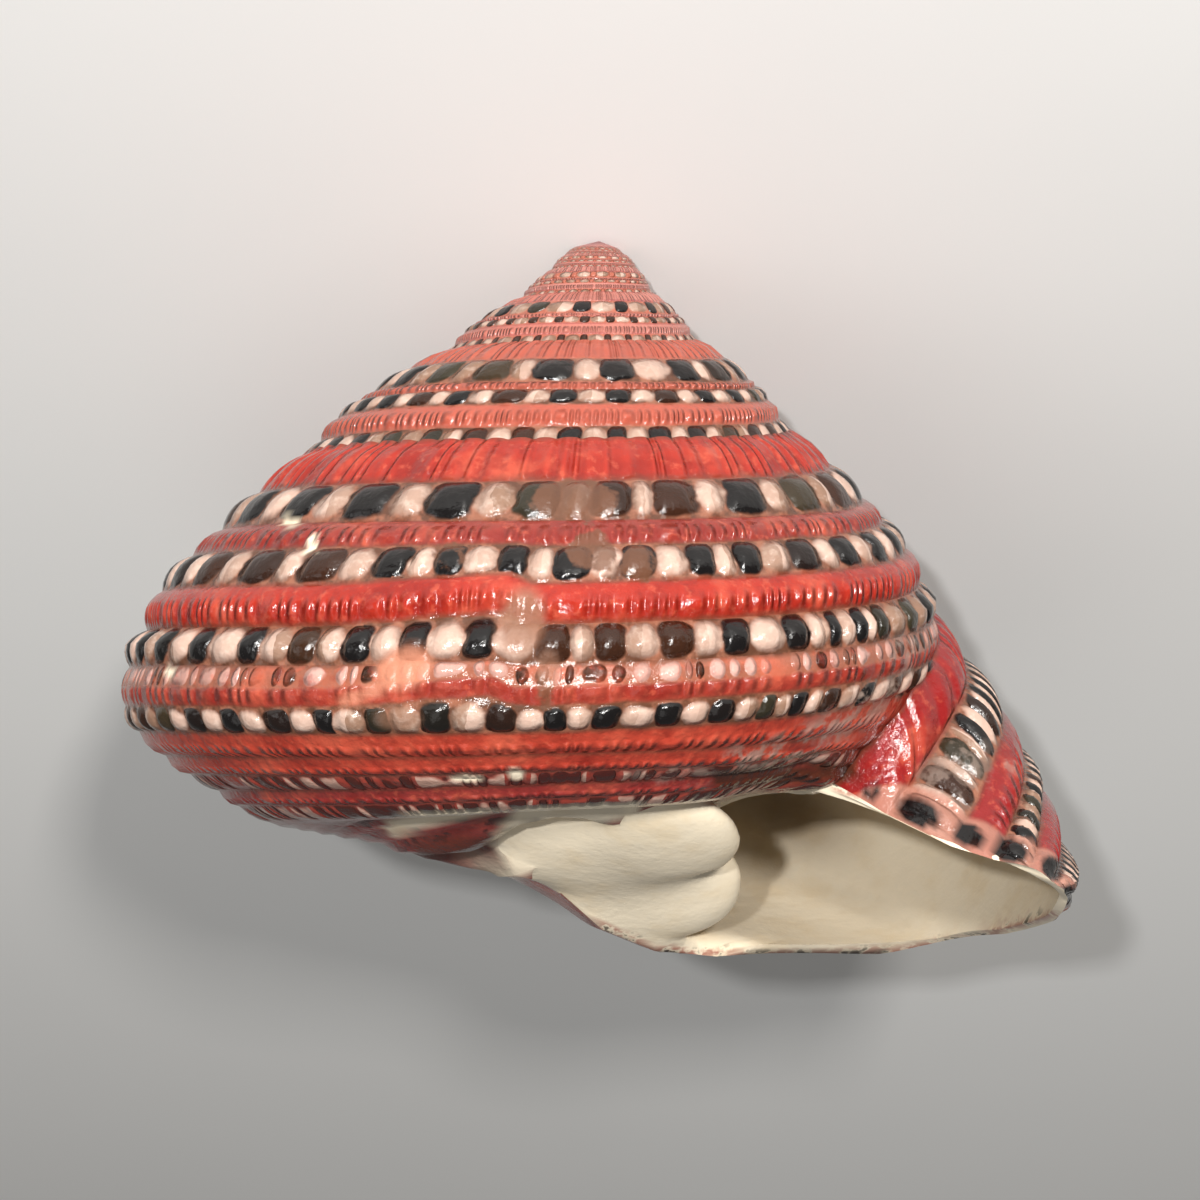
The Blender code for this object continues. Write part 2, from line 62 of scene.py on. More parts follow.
print("CAD box in mm:", [round((b - a) / MM, 2) for a, b in zip(cad_low, cad_high)])

# %% [markdown]
# ## How the shell is drawn
# A snail lays down shell at the edge of its mouth, turn after turn, so the whole outside is one profile
# carried round an axis while it widens and sinks. It could be sculpted by hand, but a formula repeats
# the way it grew, and gives every point two useful numbers for painting: its turn and its row. The turn
# is 0 near the mouth and -1 one whorl earlier. The row counts colour bands down from the seam between
# two whorls, called the suture. Lengths are millimetres, with the tip at zero and the axis upright.

# %% The outermost cord and the rows that hang on it
LIP_TURN = 0.012
MOUTH_AZIMUTH = -25.0
OUTER_CORD = (
    (-6.988, 0.186, 0.157), (-5.988, 0.335, 0.297), (-4.988, 0.618, 0.561),
    (-3.988, 1.167, 1.063), (-2.988, 2.251, 2.017), (-2.488, 3.151, 2.780),
    (-1.988, 4.410, 3.832), (-1.738, 5.185, 4.497), (-1.488, 6.021, 5.273),
    (-1.238, 6.866, 6.176), (-0.988, 7.698, 7.226), (-0.738, 8.544, 8.449),
    (-0.500, 9.345, 9.744), (-0.250, 10.14, 11.09), (-0.050, 10.77, 12.16),
    (0.012, 11.17, 12.29),
)
TIP_DEPTH = 0.02
OUTER_ROW, DIP_ROW, AXIS_ROW = 6, 13, 18
ROW_SHARES = (
    (0.0, 0.0, 0.0, 0.0), (0.246, 0.039, 0.016, 0.018), (0.440, 0.049, 0.060, 0.014),
    (0.592, 0.065, 0.000, 0.004), (0.767, 0.060, -0.020, 0.006), (0.913, 0.002, -0.011, 0.016),
)
AGE_ZERO, AGE_LEAST, AGE_MOST = -0.57, -0.5, 1.5
UNDER_SHARES = (
    (1.060, -0.040), (1.181, -0.128), (1.218, -0.232), (1.220, -0.369),
    (1.210, -0.486), (1.185, -0.608), (1.178, -0.705), (1.145, -0.834),
)
UNDER_STEPS = (
    (0.00, 0.30), (-0.19, 0.88), (-0.42, 1.51), (-0.67, 2.06),
    (-0.88, 2.43), (-1.13, 2.79), (-1.49, 3.10), (-2.12, 3.43),
)
UNDER_CHANGE = (-0.60, -0.12)
BASE_RADII = (4.62, 3.15, 1.68)
AXIS_DEPTH = 13.61
BASE_TURNS = (-0.988, -0.82, -0.70, -0.594, -0.45, -0.32, -0.20, -0.10, 0.012)
BASE_DEPTHS = (
    (11.10, 11.30, 11.97, 12.85, 13.35, 14.28, 15.32, 15.40, 15.45),
    (11.87, 11.76, 12.71, 13.02, 13.40, 14.40, 15.22, 15.30, 15.34),
    (12.75, 12.66, 13.19, 13.27, 13.55, 14.20, 14.72, 14.70, 14.70),
)

# %% Near the mouth: the last rows droop, and the old whorl's base carries the corner of the lip
DROOP_TURNS = (-0.039, 0.012)
DROOP_ROWS = (
    ((8.40, 8.66), (7.60, 11.19)), ((9.22, 9.49), (8.98, 11.62)), ((9.74, 10.35), (9.84, 11.84)),
    ((10.12, 10.84), (10.60, 12.02)), ((10.54, 11.76), (10.98, 12.18)),
)
ROW_ENDS = (
    0.012, 0.012, 0.012, 0.010, 0.006, 0.003, 0.0, -0.012, -0.030, -0.060,
    -0.085, -0.105, -0.120, -0.130, -0.140, -0.165, -0.180, -0.190, -0.190,
)
DIP_START = -0.142762
DIP_TURNS = (DIP_START, -0.09, -0.06, -0.039, -0.015, 0.0, 0.012)
DIP_ROWS = (6.0, 6.6, 7.1, 7.7, 8.5, 9.6, 13.0)
SAG, SAG_FROM, SAG_TO = 0.25, (-1.10, -1.00), (-0.95, -0.80)
SAG_ROWS = (0.0, 0.0, 0.2, 0.7, 1.0, 0.8, 1.0, 1.0)
CORNER_FROM, CORNER_TO = (-1.03, -0.995), (-0.985, -0.95)
CORNER_STEPS = (
    (0.0, 0.0), (0.0, 0.0), (0.0, 0.0), (0.10, 0.10), (0.10, 0.16), (0.36, 0.31), (0.50, 0.31),
    (0.28, 0.18),
)
GROOVE_FROM, GROOVE_TO = (-2.0, -0.95), (0.3, -2.6)
GROOVE_WIDTH, GROOVE_DEPTH, GROOVE_FALL = 0.62, 0.55, 1.6
FOLD_HEIGHT, FOLD_PLACE, FOLD_SPREAD = 0.16, 1.7, 0.5


# %% Smooth curves through known values
def through(places, values, at):
    """Values on curves through known points that never overshoot them."""
    x = np.asarray(places, float)
    y = np.asarray(values, float)
    gaps = np.diff(x)
    rises = np.diff(y) / gaps
    slopes = np.concatenate((rises[:1], np.zeros(len(x) - 2), rises[-1:]))
    for k in range(1, len(x) - 1):
        if rises[k - 1] * rises[k] > 0:
            first = 2 * gaps[k] + gaps[k - 1]
            second = gaps[k] + 2 * gaps[k - 1]
            slopes[k] = (first + second) / (first / rises[k - 1] + second / rises[k])
    at = np.clip(at, x[0], x[-1])
    k = np.clip(np.searchsorted(x, at, side="right") - 1, 0, len(gaps) - 1)
    u = (at - x[k]) / gaps[k]
    start = (1 + 2 * u) * (1 - u) ** 2 * y[k] + u * (1 - u) ** 2 * gaps[k] * slopes[k]
    end = u * u * (3 - 2 * u) * y[k + 1] + u * u * (u - 1) * gaps[k] * slopes[k + 1]
    return start + end


def ease(value, start, end):
    """0 before start, 1 after end, a soft step between."""
    u = np.clip((value - start) / (end - start), 0.0, 1.0)
    return u * u * (3 - 2 * u)


def outer_cord(turn):
    """Radius and depth of the outermost cord."""
    turns, radii, depths = np.array(OUTER_CORD).T
    radius = np.exp(through(turns, np.log(radii), turn))
    return np.stack((radius, np.exp(through(turns, np.log(depths), turn))), -1)


# %% The nineteen row borders at any turn
def under_borders(turn, start, line, side, cord):
    """Borders under the outermost cord."""
    change = ease(turn, *UNDER_CHANGE)[:, None]
    sag = ease(turn, *SAG_FROM) * (1 - ease(turn, *SAG_TO))
    swell = (ease(turn, *CORNER_FROM) * (1 - ease(turn, *CORNER_TO)))[:, None]
    found = []
    for k, (share, stand) in enumerate(UNDER_SHARES):
        older = start + share * line + stand * side
        newer = cord + np.array(UNDER_STEPS[k])
        point = older * (1 - change) + newer * change
        point[:, 1] += SAG * SAG_ROWS[k] * sag
        found.append(point + swell * np.array(CORNER_STEPS[k]))
    return found


def plain_borders(turn):
    """All borders as (radius, depth), as if the suture never dipped."""
    start = outer_cord(turn - 1)
    cord = outer_cord(turn)
    line = cord - start
    side = np.stack((line[:, 1], -line[:, 0]), -1)
    age = np.clip(AGE_ZERO - turn, AGE_LEAST, AGE_MOST)[:, None]
    rows = []
    for share, stand, more, stand_more in ROW_SHARES:
        rows.append(start + (share + more * age) * line + (stand + stand_more * age) * side)
    rows.append(cord)
    rows += under_borders(turn, start, line, side, cord)
    for radius, depths in zip(BASE_RADII, BASE_DEPTHS):
        depth = through(BASE_TURNS, depths, turn)
        rows.append(np.stack((np.full_like(turn, radius), depth), -1))
    rows.append(np.stack((np.zeros_like(turn), np.full_like(turn, AXIS_DEPTH)), -1))
    return np.stack(rows, 1)


def pick(borders, row):
    """Point (radius, depth) at a row, also between two borders."""
    row = np.clip(row, 0, AXIS_ROW)
    low = np.minimum(row.astype(int), AXIS_ROW - 1)
    part = (row - low)[:, None]
    each = np.arange(len(borders))
    return borders[each, low] * (1 - part) + borders[each, low + 1] * part


def dip_row(turn):
    """Row of the whorl above on which the suture sits."""
    return through(DIP_TURNS, DIP_ROWS, turn)


def row_borders(turn):
    """All borders, with the rows drooping close to the mouth."""
    found = plain_borders(turn)
    late = turn > DIP_START
    if late.any():
        found[late, 0] = pick(plain_borders(turn[late] - 1), dip_row(turn[late]))
        first = plain_borders(np.array([DIP_START]))[0]
        times = (DIP_START,) + DROOP_TURNS
        for row, drawn in enumerate(DROOP_ROWS, 1):
            for k in range(2):
                values = (first[row, k], drawn[0][k], drawn[1][k])
                found[late, row, k] = through(times, values, turn[late])
    return found


# %% [markdown]
# ## Cords and beads
# The real shell's cords are rows of small rounded beads, dark and pale by turns, between smooth red
# cords. Modelling each bead as its own ball would need thousands of pieces that never quite blend, so
# the surface itself rises and falls. Each row has its own count of beads per turn. For the rows of
# dark and pale beads, the places of the dark ones were read off one by one where they can be seen.

# %% Bead counts: bands between two borders, their height, beads per turn and how deep they are cut
BANDS = (
    (0, 1, 0.16, 90, 0.15, 0.42), (1, 2, 0.19, 0, 0.70, 0.70), (2, 3, 0.12, 150, 0.05, 0.20),
    (3, 4, 0.19, 0, 0.70, 0.70), (4, 5, 0.19, 168, 0.04, 0.22), (5, 7, 0.16, 0, 0.80, 0.80),
    (7, 8, 0.13, 138, 0.20, 0.05), (8, 9, 0.15, 0, 0.70, 0.70), (9, 10, 0.11, 190, 0.05, 0.05),
    (10, 11, 0.11, 190, 0.05, 0.05), (11, 12, 0.07, 0, 0.40, 0.40), (12, 13, 0.08, 150, 0.10, 0.10),
    (13, 14, 0.06, 0, 0.50, 0.50),
)
DARK_BEADS = {
    1: ((-2.9897, -2.9377, -2.8688, -2.8007, -2.7259, -2.6512), 12,
        (-1.963, -1.9174, -1.8434, -1.7919, -1.7392, -1.6898), 15,
        (-0.9939, -0.9519, -0.9094, -0.8653, -0.8371, -0.8029, -0.7626, -0.7183, -0.6783, -0.6324)),
    3: ((-1.9583, -1.9199, -1.8831, -1.8435, -1.8047, -1.7661, -1.7277), 23,
        (-0.9841, -0.9559, -0.926, -0.8941, -0.8743, -0.846, -0.8204, -0.7982, -0.772, -0.7511,
         -0.718, -0.687, -0.6493)),
    5: ((-0.9597, -0.9474, -0.9297, -0.9114, -0.8832, -0.8596, -0.8356, -0.8165, -0.7903, -0.767,
         -0.7466, -0.725, -0.7019, -0.6738, -0.646),),
    8: ((-0.929, -0.9129, -0.8993, -0.8798, -0.8596, -0.8356, -0.8185, -0.8015, -0.7771, -0.7564,
         -0.7362, -0.7166, -0.6932, -0.6726, -0.6491),),
}
PAIRS_BEFORE = {1: 17, 3: 27, 5: 34, 8: 44}
PAIRS_AFTER = {1: 25, 3: 34, 5: 44, 8: 46}
PAIRS_PER_TURN = {11: 62, 13: 70}
OLDEST_TURN = -6.0
CROWDED_FROM, CROWDED_PAIRS = -0.12, 80
UNEVEN = ((17.3, 0.35), (41.7, 0.22), (67.1, 0.12))
DARK_SHARE = {1: 0.60, 3: 0.56, 5: 0.52, 8: 0.48, 11: 0.5, 13: 0.45}


def bead_knots(first_row):
    """Turns of dark beads and their running numbers, in order of growth."""
    turns, numbers = [], []
    count = 0.0
    for part in DARK_BEADS[first_row]:
        if isinstance(part, int):
            count += part - 1
            continue
        for turn in part:
            turns.append(turn)
            numbers.append(count)
            count += 1
    before = (turns[0] - OLDEST_TURN) * PAIRS_BEFORE[first_row]
    after = (LIP_TURN + 0.1 - turns[-1]) * PAIRS_AFTER[first_row]
    turns = [OLDEST_TURN] + turns + [LIP_TURN + 0.1]
    return turns, [numbers[0] - before] + numbers + [numbers[-1] + after]


def bead_count(band, turn):
    """Running bead number at a turn: whole numbers are bead centres, or dark centres in a pair."""
    first, _, _, per_turn, _, _ = BANDS[band]
    if first in DARK_BEADS:
        crowded = np.maximum(turn - CROWDED_FROM, 0) * CROWDED_PAIRS
        return np.interp(turn, *bead_knots(first)) + crowded
    uneven = sum(size * np.sin(2 * math.pi * turn * often + first) for often, size in UNEVEN)
    return turn * (per_turn or PAIRS_PER_TURN[first]) + uneven


BAND_OF_ROW = np.array([0, 1, 2, 3, 4, 5, 5, 6, 7, 8, 9, 10, 11, 12, 13, 13, 13, 13, 13])
print("bead rows with measured dark beads:", len(DARK_BEADS))

# %% [markdown]
# ### The healed break
# Half way round the front the shell was once chipped and mended. Left of the mend the cords ride a
# little higher than right of it. Shifting the row number there bends the relief and the paint together.

# %% Rows shifted by the healed break
SCAR_TURN = -0.807
SCAR_RISE = 0.26
SCAR_STEP, SCAR_CREST, SCAR_REACH = 0.012, 0.01, 0.085
SCAR_ROWS = (2.6, 4.2, 7.4, 9.0)


def scar_shift(turn, row):
    """How many rows the cords are shifted at the healed break."""
    rising = ease(turn, SCAR_TURN, SCAR_TURN + SCAR_STEP)
    falling = 1 - ease(turn, SCAR_TURN + SCAR_CREST, SCAR_TURN + SCAR_REACH)
    window = ease(row, *SCAR_ROWS[:2]) * (1 - ease(row, *SCAR_ROWS[2:]))
    return SCAR_RISE * (rising * falling) * window


# %% Height of the relief
FULL_HEIGHT_RADIUS = 9.0
VALLEY_WIDTH = 0.10
BASE_CORDS, BASE_CORD_HEIGHT = 3, 0.045
PROFILE_POWER = 0.8
CUT_CHANGE = (0.35, 0.75)
BASE_ROWS = (14, 16)
LIP_FADE, LIP_SINCE, LIP_FADE_SHARE = 0.007, -0.25, 0.9


def relief(turn, row):
    """Height above the bare surface, in millimetres."""
    ends = through(range(len(ROW_ENDS)), ROW_ENDS, row)
    thinning = LIP_FADE_SHARE * ease(turn, ends - LIP_FADE, ends) * (turn > LIP_SINCE)
    row = row + scar_shift(turn, row)
    height = np.zeros_like(row)
    for band, (first, last, full, _, cut_up, cut_down) in enumerate(BANDS):
        here = (row > first) & (row < last)
        part = (row[here] - first) / (last - first)
        beads = bead_count(band, turn[here])
        cut = cut_up + (cut_down - cut_up) * ease(part, *CUT_CHANGE)
        offset = np.abs(beads - np.round(beads))
        if first in DARK_SHARE:
            edge = (offset - DARK_SHARE[first] / 2) / VALLEY_WIDTH
            kept = 1 - cut * np.exp(-edge * edge)
        else:
            kept = 1 - cut * (0.5 - 0.5 * np.cos(2 * math.pi * beads))
        height[here] = full * np.sin(math.pi * part) ** PROFILE_POWER * kept
    on_base = (row >= BASE_ROWS[0]) & (row < BASE_ROWS[1])
    cords = np.sin(math.pi * BASE_CORDS * (row[on_base] - BASE_ROWS[0])) ** 2
    height[on_base] = BASE_CORD_HEIGHT * cords
    size = np.minimum(outer_cord(turn)[:, 0] / FULL_HEIGHT_RADIUS, 1.0)
    return height * size * (1 - thinning)


# %% Points of the finished outside
GROOVE_SINCE = -1.2
SLOPE_REACH = 0.25


def groove_at(across, back):
    """Rise of the base at the umbilical groove, with a fold along each side."""
    start = np.array(GROOVE_FROM)
    run = np.array(GROOVE_TO) - start
    away = np.stack((across, back), -1) - start
    share = np.clip(away @ run / float(run @ run), 0.0, 1.0)
    gap = np.linalg.norm(away - share[:, None] * run, axis=1) / GROOVE_WIDTH
    hollow = GROOVE_DEPTH * np.exp(-gap * gap * GROOVE_FALL)
    return hollow - FOLD_HEIGHT * np.exp(-((gap - FOLD_PLACE) / FOLD_SPREAD) ** 2)


def round_axis(point, turn):
    """From (radius, depth) at a turn to a point in space."""
    angle = np.radians(MOUTH_AZIMUTH - 360 * turn)
    return np.stack((point[:, 0] * np.cos(angle), point[:, 0] * np.sin(angle), -point[:, 1]), -1)


def grooved(point, turn):
    """The same, with the umbilical groove pressed into the base of the last whorl."""
    spot = round_axis(point, turn)
    near = (turn > GROOVE_SINCE) & (point[:, 0] < BASE_RADII[0])
    spot[near, 2] += groove_at(spot[near, 0], spot[near, 1])
    return spot


def surface(turn, row):
    """Points of the outside at equally long lists of turns and rows."""
    turn, row = np.array(turn, float), np.array(row, float)
    at_suture = row <= 0
    row[at_suture] = dip_row(turn[at_suture])
    turn[at_suture] -= 1
    borders = row_borders(turn)
    middle = pick(borders, row)
    run = pick(borders, row + SLOPE_REACH) - pick(borders, row - SLOPE_REACH)
    length = np.maximum(np.linalg.norm(run, axis=1), 1e-9)[:, None]
    outward = np.stack((run[:, 1], -run[:, 0]), -1) / length
    return grooved(middle + relief(turn, row)[:, None] * outward, turn)


# %% [markdown]
# ## Sheets of mesh
# Each whorl is one grid made by create_grid and bent into place. The small whorls near the tip need
# fewer faces than the last one, so where two grids meet, the coarser edge is split until both have the
# same corners. Every grid also carries its turns and rows as a UV map, which the paint reads later.

# %% Grid helpers
ROW_MAP = "rows"
FACE_MARK, HOLLOW_MARK, PAD_MARK = 30.0, 40.0, 60.0
PEARL_FROM = 25.0


def sheet(turns, rows, where, mark=None):
    """Grid of faces; where(turns, rows) gives its corners. Returns a mesh and its corner table."""
    bm = bmesh.new()
    layer = bm.loops.layers.uv.new(ROW_MAP)
    across, down = len(turns) - 1, len(rows) - 1
    bmesh.ops.create_grid(bm, x_segments=across, y_segments=down, size=1.0, calc_uvs=True)
    i = np.array([round((vert.co.x + 1) / 2 * across) for vert in bm.verts])
    j = np.array([round((vert.co.y + 1) / 2 * down) for vert in bm.verts])
    turns, rows = np.asarray(turns, float), np.asarray(rows, float)
    spots, shown_turn, shown_row = where(turns[i], rows[j])
    corners = {}
    for k, vert in enumerate(bm.verts):
        vert.co = spots[k]
        vert.index = k
        corners[i[k], j[k]] = vert
    for face in bm.faces:
        for loop in face.loops:
            k = loop.vert.index
            loop[layer].uv = (shown_turn[k], shown_row[k] if mark is None else mark)
    return bm, corners


def match_edge(bm, first, second, spots):
    """Splits one grid edge so that it meets a finer neighbour at the given spots."""
    here = first
    for spot in spots:
        edge = bm.edges.get((here, second))
        _, here = bmesh.utils.edge_split(edge, here, 0.5)
        here.co = spot


def plain_sheet(turn, row):
    """A whorl's own points, with the numbers that its paint reads."""
    return surface(turn, row), turn, row


def between(values, low, high):
    """Values strictly between two others."""
    return [v for v in values if low + 1e-7 < v < high - 1e-7]


def spots_at(turns, rows):
    """Points for a short list of turns and rows."""
    turns, rows = np.broadcast_arrays(np.array(turns, float), np.array(rows, float))
    return [Vector(spot) for spot in surface(turns, rows)] if turns.size else []


# %% How finely each whorl is drawn
def row_list(pieces):
    """Row numbers with so many pieces in each band."""
    rows = [0.0]
    for band, count in enumerate(pieces):
        rows += [band + k / count for k in range(1, count + 1)]
    return rows


STEPS = 720
LAST_ROWS = row_list((8, 8, 4, 6, 8, 4, 4, 6, 6, 3, 3, 4, 3, 3, 6, 6, 3, 3))
WHORLS = (
    (5, 90, row_list((1, 2, 1, 1, 1, 1))), (4, 90, row_list((1, 2, 1, 1, 1, 1))),
    (3, 180, row_list((2, 4, 2, 3, 2, 1))), (2, 360, row_list((2, 4, 2, 3, 2, 2))),
    (1, 360, row_list((4, 8, 4, 6, 4, 2))), (0, STEPS, LAST_ROWS),
)


def whorl_turns(back, steps):
    """Evenly spaced turns of the whorl that lies so many whorls back."""
    return [LIP_TURN - 1 - back + i / steps for i in range(steps + 1)]


# %% The spire
parts = []
for (back, steps, rows), (_, next_steps, next_rows) in zip(WHORLS, WHORLS[1:]):
    turns = whorl_turns(back, steps)
    bm, corners = sheet(turns, rows, plain_sheet)
    finer = next_steps // steps
    for i in range(steps if finer > 1 else 0):
        extra = [turns[i] + k / next_steps for k in range(1, finer)]
        match_edge(bm, corners[i, len(rows) - 1], corners[i + 1, len(rows) - 1],
                   spots_at(extra, OUTER_ROW))
    for j in range(len(rows) - 1):
        extra = between(next_rows, rows[j], rows[j + 1])
        match_edge(bm, corners[steps, j], corners[steps, j + 1], spots_at(turns[-1], extra))
    if not parts:
        loop = [corners[i, 0] for i in range(steps + 1)]
        loop += [corners[0, j] for j in range(len(rows) - 2, 0, -1)]
        hub = bm.verts.new((0, 0, -TIP_DEPTH))
        for one, other in zip(loop, loop[1:] + loop[:1]):
            for corner in bm.faces.new((one, other, hub)).loops:
                corner[bm.loops.layers.uv[ROW_MAP]].uv = (turns[0], 0.0)
    parts.append(bm)
print("spire sheets:", len(parts), "faces:", sum(len(bm.faces) for bm in parts))


# %% The last whorl, cut off along the slanting mouth, and the face across the mouth
def last_whorl(turn, row):
    """Points of the last whorl: each row stops where the mouth cuts it off."""
    first = LIP_TURN - 1
    ends = through(range(len(ROW_ENDS)), ROW_ENDS, row)
    turn = first + (turn - first) * (ends - first)
    return surface(turn, row), turn, row


def bare_patch(turn, row):
    """Points of the old whorl left bare by the dipping suture."""
    share = (row - OUTER_ROW) / (DIP_ROW - OUTER_ROW)
    reach = OUTER_ROW + share * (dip_row(turn) - OUTER_ROW)
    return surface(turn - 1, reach), turn - 1, reach


FACE_OUTER = (0, 1, 2, 3, 4, 5, 6, 8, 10, 12, 15, 16, 16.5, 17, 18)
FACE_INNER = (13, 13.1, 13.2, 13.3, 13.4, 13.5, 13.6, 13.8, 14, 14.5, 15, 16, 16.5, 17, 18)
FACE_STEPS = 24
first_turn = LIP_TURN - 1
inner_extra = between(LAST_ROWS, DIP_ROW, AXIS_ROW)
face_rows = sorted(set(LAST_ROWS) | {float(r) for r in np.interp(inner_extra, FACE_INNER, FACE_OUTER)})
face_rows = [r for k, r in enumerate(face_rows) if k == 0 or r - face_rows[k - 1] > 1e-6]


def inner_row(row):
    """Row on the old whorl that the face joins to a row of the lip."""
    return np.interp(row, FACE_OUTER, FACE_INNER)


def mouth_face(share, row):
    """Points of the face between the old whorl's base and the lip."""
    start = surface(np.full_like(row, first_turn), inner_row(row))
    end = last_whorl(np.full_like(row, LIP_TURN), row)[0]
    return start + share[:, None] * (end - start), share, row


last_bm, last_corners = sheet(whorl_turns(0, STEPS), LAST_ROWS, last_whorl)
for j in range(len(LAST_ROWS) - 1):
    low, high = LAST_ROWS[j], LAST_ROWS[j + 1]
    extra = between(inner_row(np.array(face_rows)), low, high) if low >= DIP_ROW else []
    match_edge(last_bm, last_corners[0, j], last_corners[0, j + 1], spots_at(first_turn, extra))
    extra = np.array(between(face_rows, low, high))
    ends = last_whorl(np.full(len(extra), LIP_TURN), extra)[0] if len(extra) else []
    match_edge(last_bm, last_corners[STEPS, j], last_corners[STEPS, j + 1], [Vector(p) for p in ends])
dip_turns = [t for t in whorl_turns(0, STEPS) if t >= DIP_START - 1 / STEPS]
patch_bm, _ = sheet(dip_turns, [r for r in LAST_ROWS if OUTER_ROW <= r <= DIP_ROW], bare_patch)
face_bm, _ = sheet([i / FACE_STEPS for i in range(FACE_STEPS + 1)], face_rows, mouth_face,
                   mark=FACE_MARK)
parts += [last_bm, patch_bm, face_bm]
print("last whorl faces:", len(last_bm.faces), "patch:", len(patch_bm.faces))


# %% Join the sheets into one closed skin
def placed_in_scene(name, data):
    """Object that shows a mesh, a lamp or a camera."""
    thing = bpy.data.objects.new(name, data)
    bpy.context.scene.collection.objects.link(thing)
    return thing


def new_object(name, bm):
    """Object from a bmesh."""
    mesh = bpy.data.meshes.new(name)
    bm.to_mesh(mesh)
    bm.free()
    return placed_in_scene(name, mesh)


def with_modifiers(thing):
    """The object's mesh after its modifiers, which are then dropped."""
    seen = thing.evaluated_get(bpy.context.evaluated_depsgraph_get())
    result = bpy.data.meshes.new_from_object(seen)
    thing.modifiers.clear()
    return result


WELD = 1e-3
skin = bmesh.new()
for bm in parts:
    piece = bpy.data.meshes.new("sheet")
    bm.to_mesh(piece)
    bm.free()
    skin.from_mesh(piece)
    bpy.data.meshes.remove(piece)
bmesh.ops.remove_doubles(skin, verts=skin.verts, dist=WELD)
bmesh.ops.dissolve_degenerate(skin, edges=skin.edges, dist=WELD)
bmesh.ops.recalc_face_normals(skin, faces=skin.faces)
open_edges = sum(1 for edge in skin.edges if not edge.is_manifold)
print("skin faces:", len(skin.faces), "edges that are open or doubled:", open_edges)
shell = new_object("shell_surface", skin)

# %% [markdown]
# ## The hollow and the mouth
# Inside the last whorl the real shell is empty, lined with cream mother-of-pearl. We loft a closed
# body of that shape and cut it out, which leaves a thin lip. The rounded tooth, the smooth pad over the
# navel and the slope beside them are three flattened balls. A voxel remesh melts them into one lump,
# which is joined on, and the joint is then smoothed until it flows like poured nacre.

# %% Sections of the hollow
LIP_WALL, INNER_WALL, WALL_CHANGE, OLD_WALL_COVER = 0.18, 0.36, (-0.30, 0.0), 0.17
PILLAR_TURNS = (-0.80, -0.40, -0.25, -0.155, -0.07, -0.033, 0.003, 0.035)
PILLAR_RADII = (1.4, 1.8, 2.2, 2.5, 2.65, 3.05, 3.55, 3.95)
HOLLOW_TURNS = (
    -0.784, -0.738, -0.681, -0.613, -0.545, -0.477, -0.408, -0.340, -0.283, -0.227, -0.181,
    -0.136, -0.102, -0.068, -0.045, -0.033, -0.022, -0.011, 0.0, 0.012, 0.035,
)
HOLLOW_ROWS = (1.0, 1.6, 2.5, 3.6, 4.8, 6.0, 7.5, 9.0, 11.0, 13.0, 14.5)
HOLLOW_CORNER_ROW, HOLLOW_CORNER_TURNS = 0.6, (-0.012, 0.012)
DROOP_WALL, DROOP_WALL_ROWS = 0.55, 3.0
DROOP_WALL_FROM, DROOP_WALL_TO = (-0.14, -0.06), (-0.004, 0.016)
HOLLOW_OLD_ROWS, HOLLOW_OLD_ROW, HOLLOW_LAST_ROW, ROWS_PAST_SUTURE = 4, 14, 8.0, 0.7
HOLLOW_ROUNDING = (0.5, 0.45, 0.3, 0.2)
HOLLOW_TAPER, HOLLOW_END_SIZE = (-0.80, -0.45), 0.3
ALONG_HOLLOW, ROUND_HOLLOW = 0.25, 4
SIDE_REACH = 0.3


def side_step(turn, row, distance):
    """Point beside the bare surface, outside it for a positive distance."""
    borders = row_borders(np.array([turn]))
    here, ahead, behind = (pick(borders, np.array([row + d]))[0] for d in (0, SIDE_REACH, -SIDE_REACH))
    run = ahead - behind
    return here + distance * np.array((run[1], -run[0])) / math.hypot(*run)


def hollow_loop(turn):
    """Points (radius, depth) round the hollow at one turn."""
    drawn = min(turn, LIP_TURN)
    wall = INNER_WALL + (LIP_WALL - INNER_WALL) * ease(drawn, *WALL_CHANGE)
    corner = ease(drawn, *HOLLOW_CORNER_TURNS)
    first = HOLLOW_ROWS[0] + (HOLLOW_CORNER_ROW - HOLLOW_ROWS[0]) * corner
    droop = DROOP_WALL * ease(turn, *DROOP_WALL_FROM) * (1 - ease(turn, *DROOP_WALL_TO))
    loop = [side_step(drawn, row, -wall - droop * max(1 - row / DROOP_WALL_ROWS, 0.0))
            for row in (first,) + HOLLOW_ROWS[1:]]
    pillar = float(through(PILLAR_TURNS, PILLAR_RADII, turn))
    floor = loop[-1][1]
    old = side_step(drawn - 1, HOLLOW_OLD_ROW, OLD_WALL_COVER)
    low_in, low_up, high_out, high_down = HOLLOW_ROUNDING
    loop += [np.array((pillar + low_in, floor)), np.array((pillar, floor - low_up))]
    loop += [np.array((pillar, (floor + old[1]) / 2))]
    loop += [np.array((min(pillar + high_out, old[0]), old[1] + high_down))]
    nearest = max(float(dip_row(drawn)) + ROWS_PAST_SUTURE, HOLLOW_LAST_ROW)
    for k in range(HOLLOW_OLD_ROWS):
        row = HOLLOW_OLD_ROW + (nearest - HOLLOW_OLD_ROW) * k / (HOLLOW_OLD_ROWS - 1)
        loop.append(side_step(drawn - 1, row, OLD_WALL_COVER))
    size = HOLLOW_END_SIZE + (1 - HOLLOW_END_SIZE) * ease(turn, *HOLLOW_TAPER)
    centre = sum(loop) / len(loop)
    return np.array([centre + (point - centre) * size for point in loop])


loops = np.array([hollow_loop(turn) for turn in HOLLOW_TURNS])
print("hollow sections:", loops.shape)


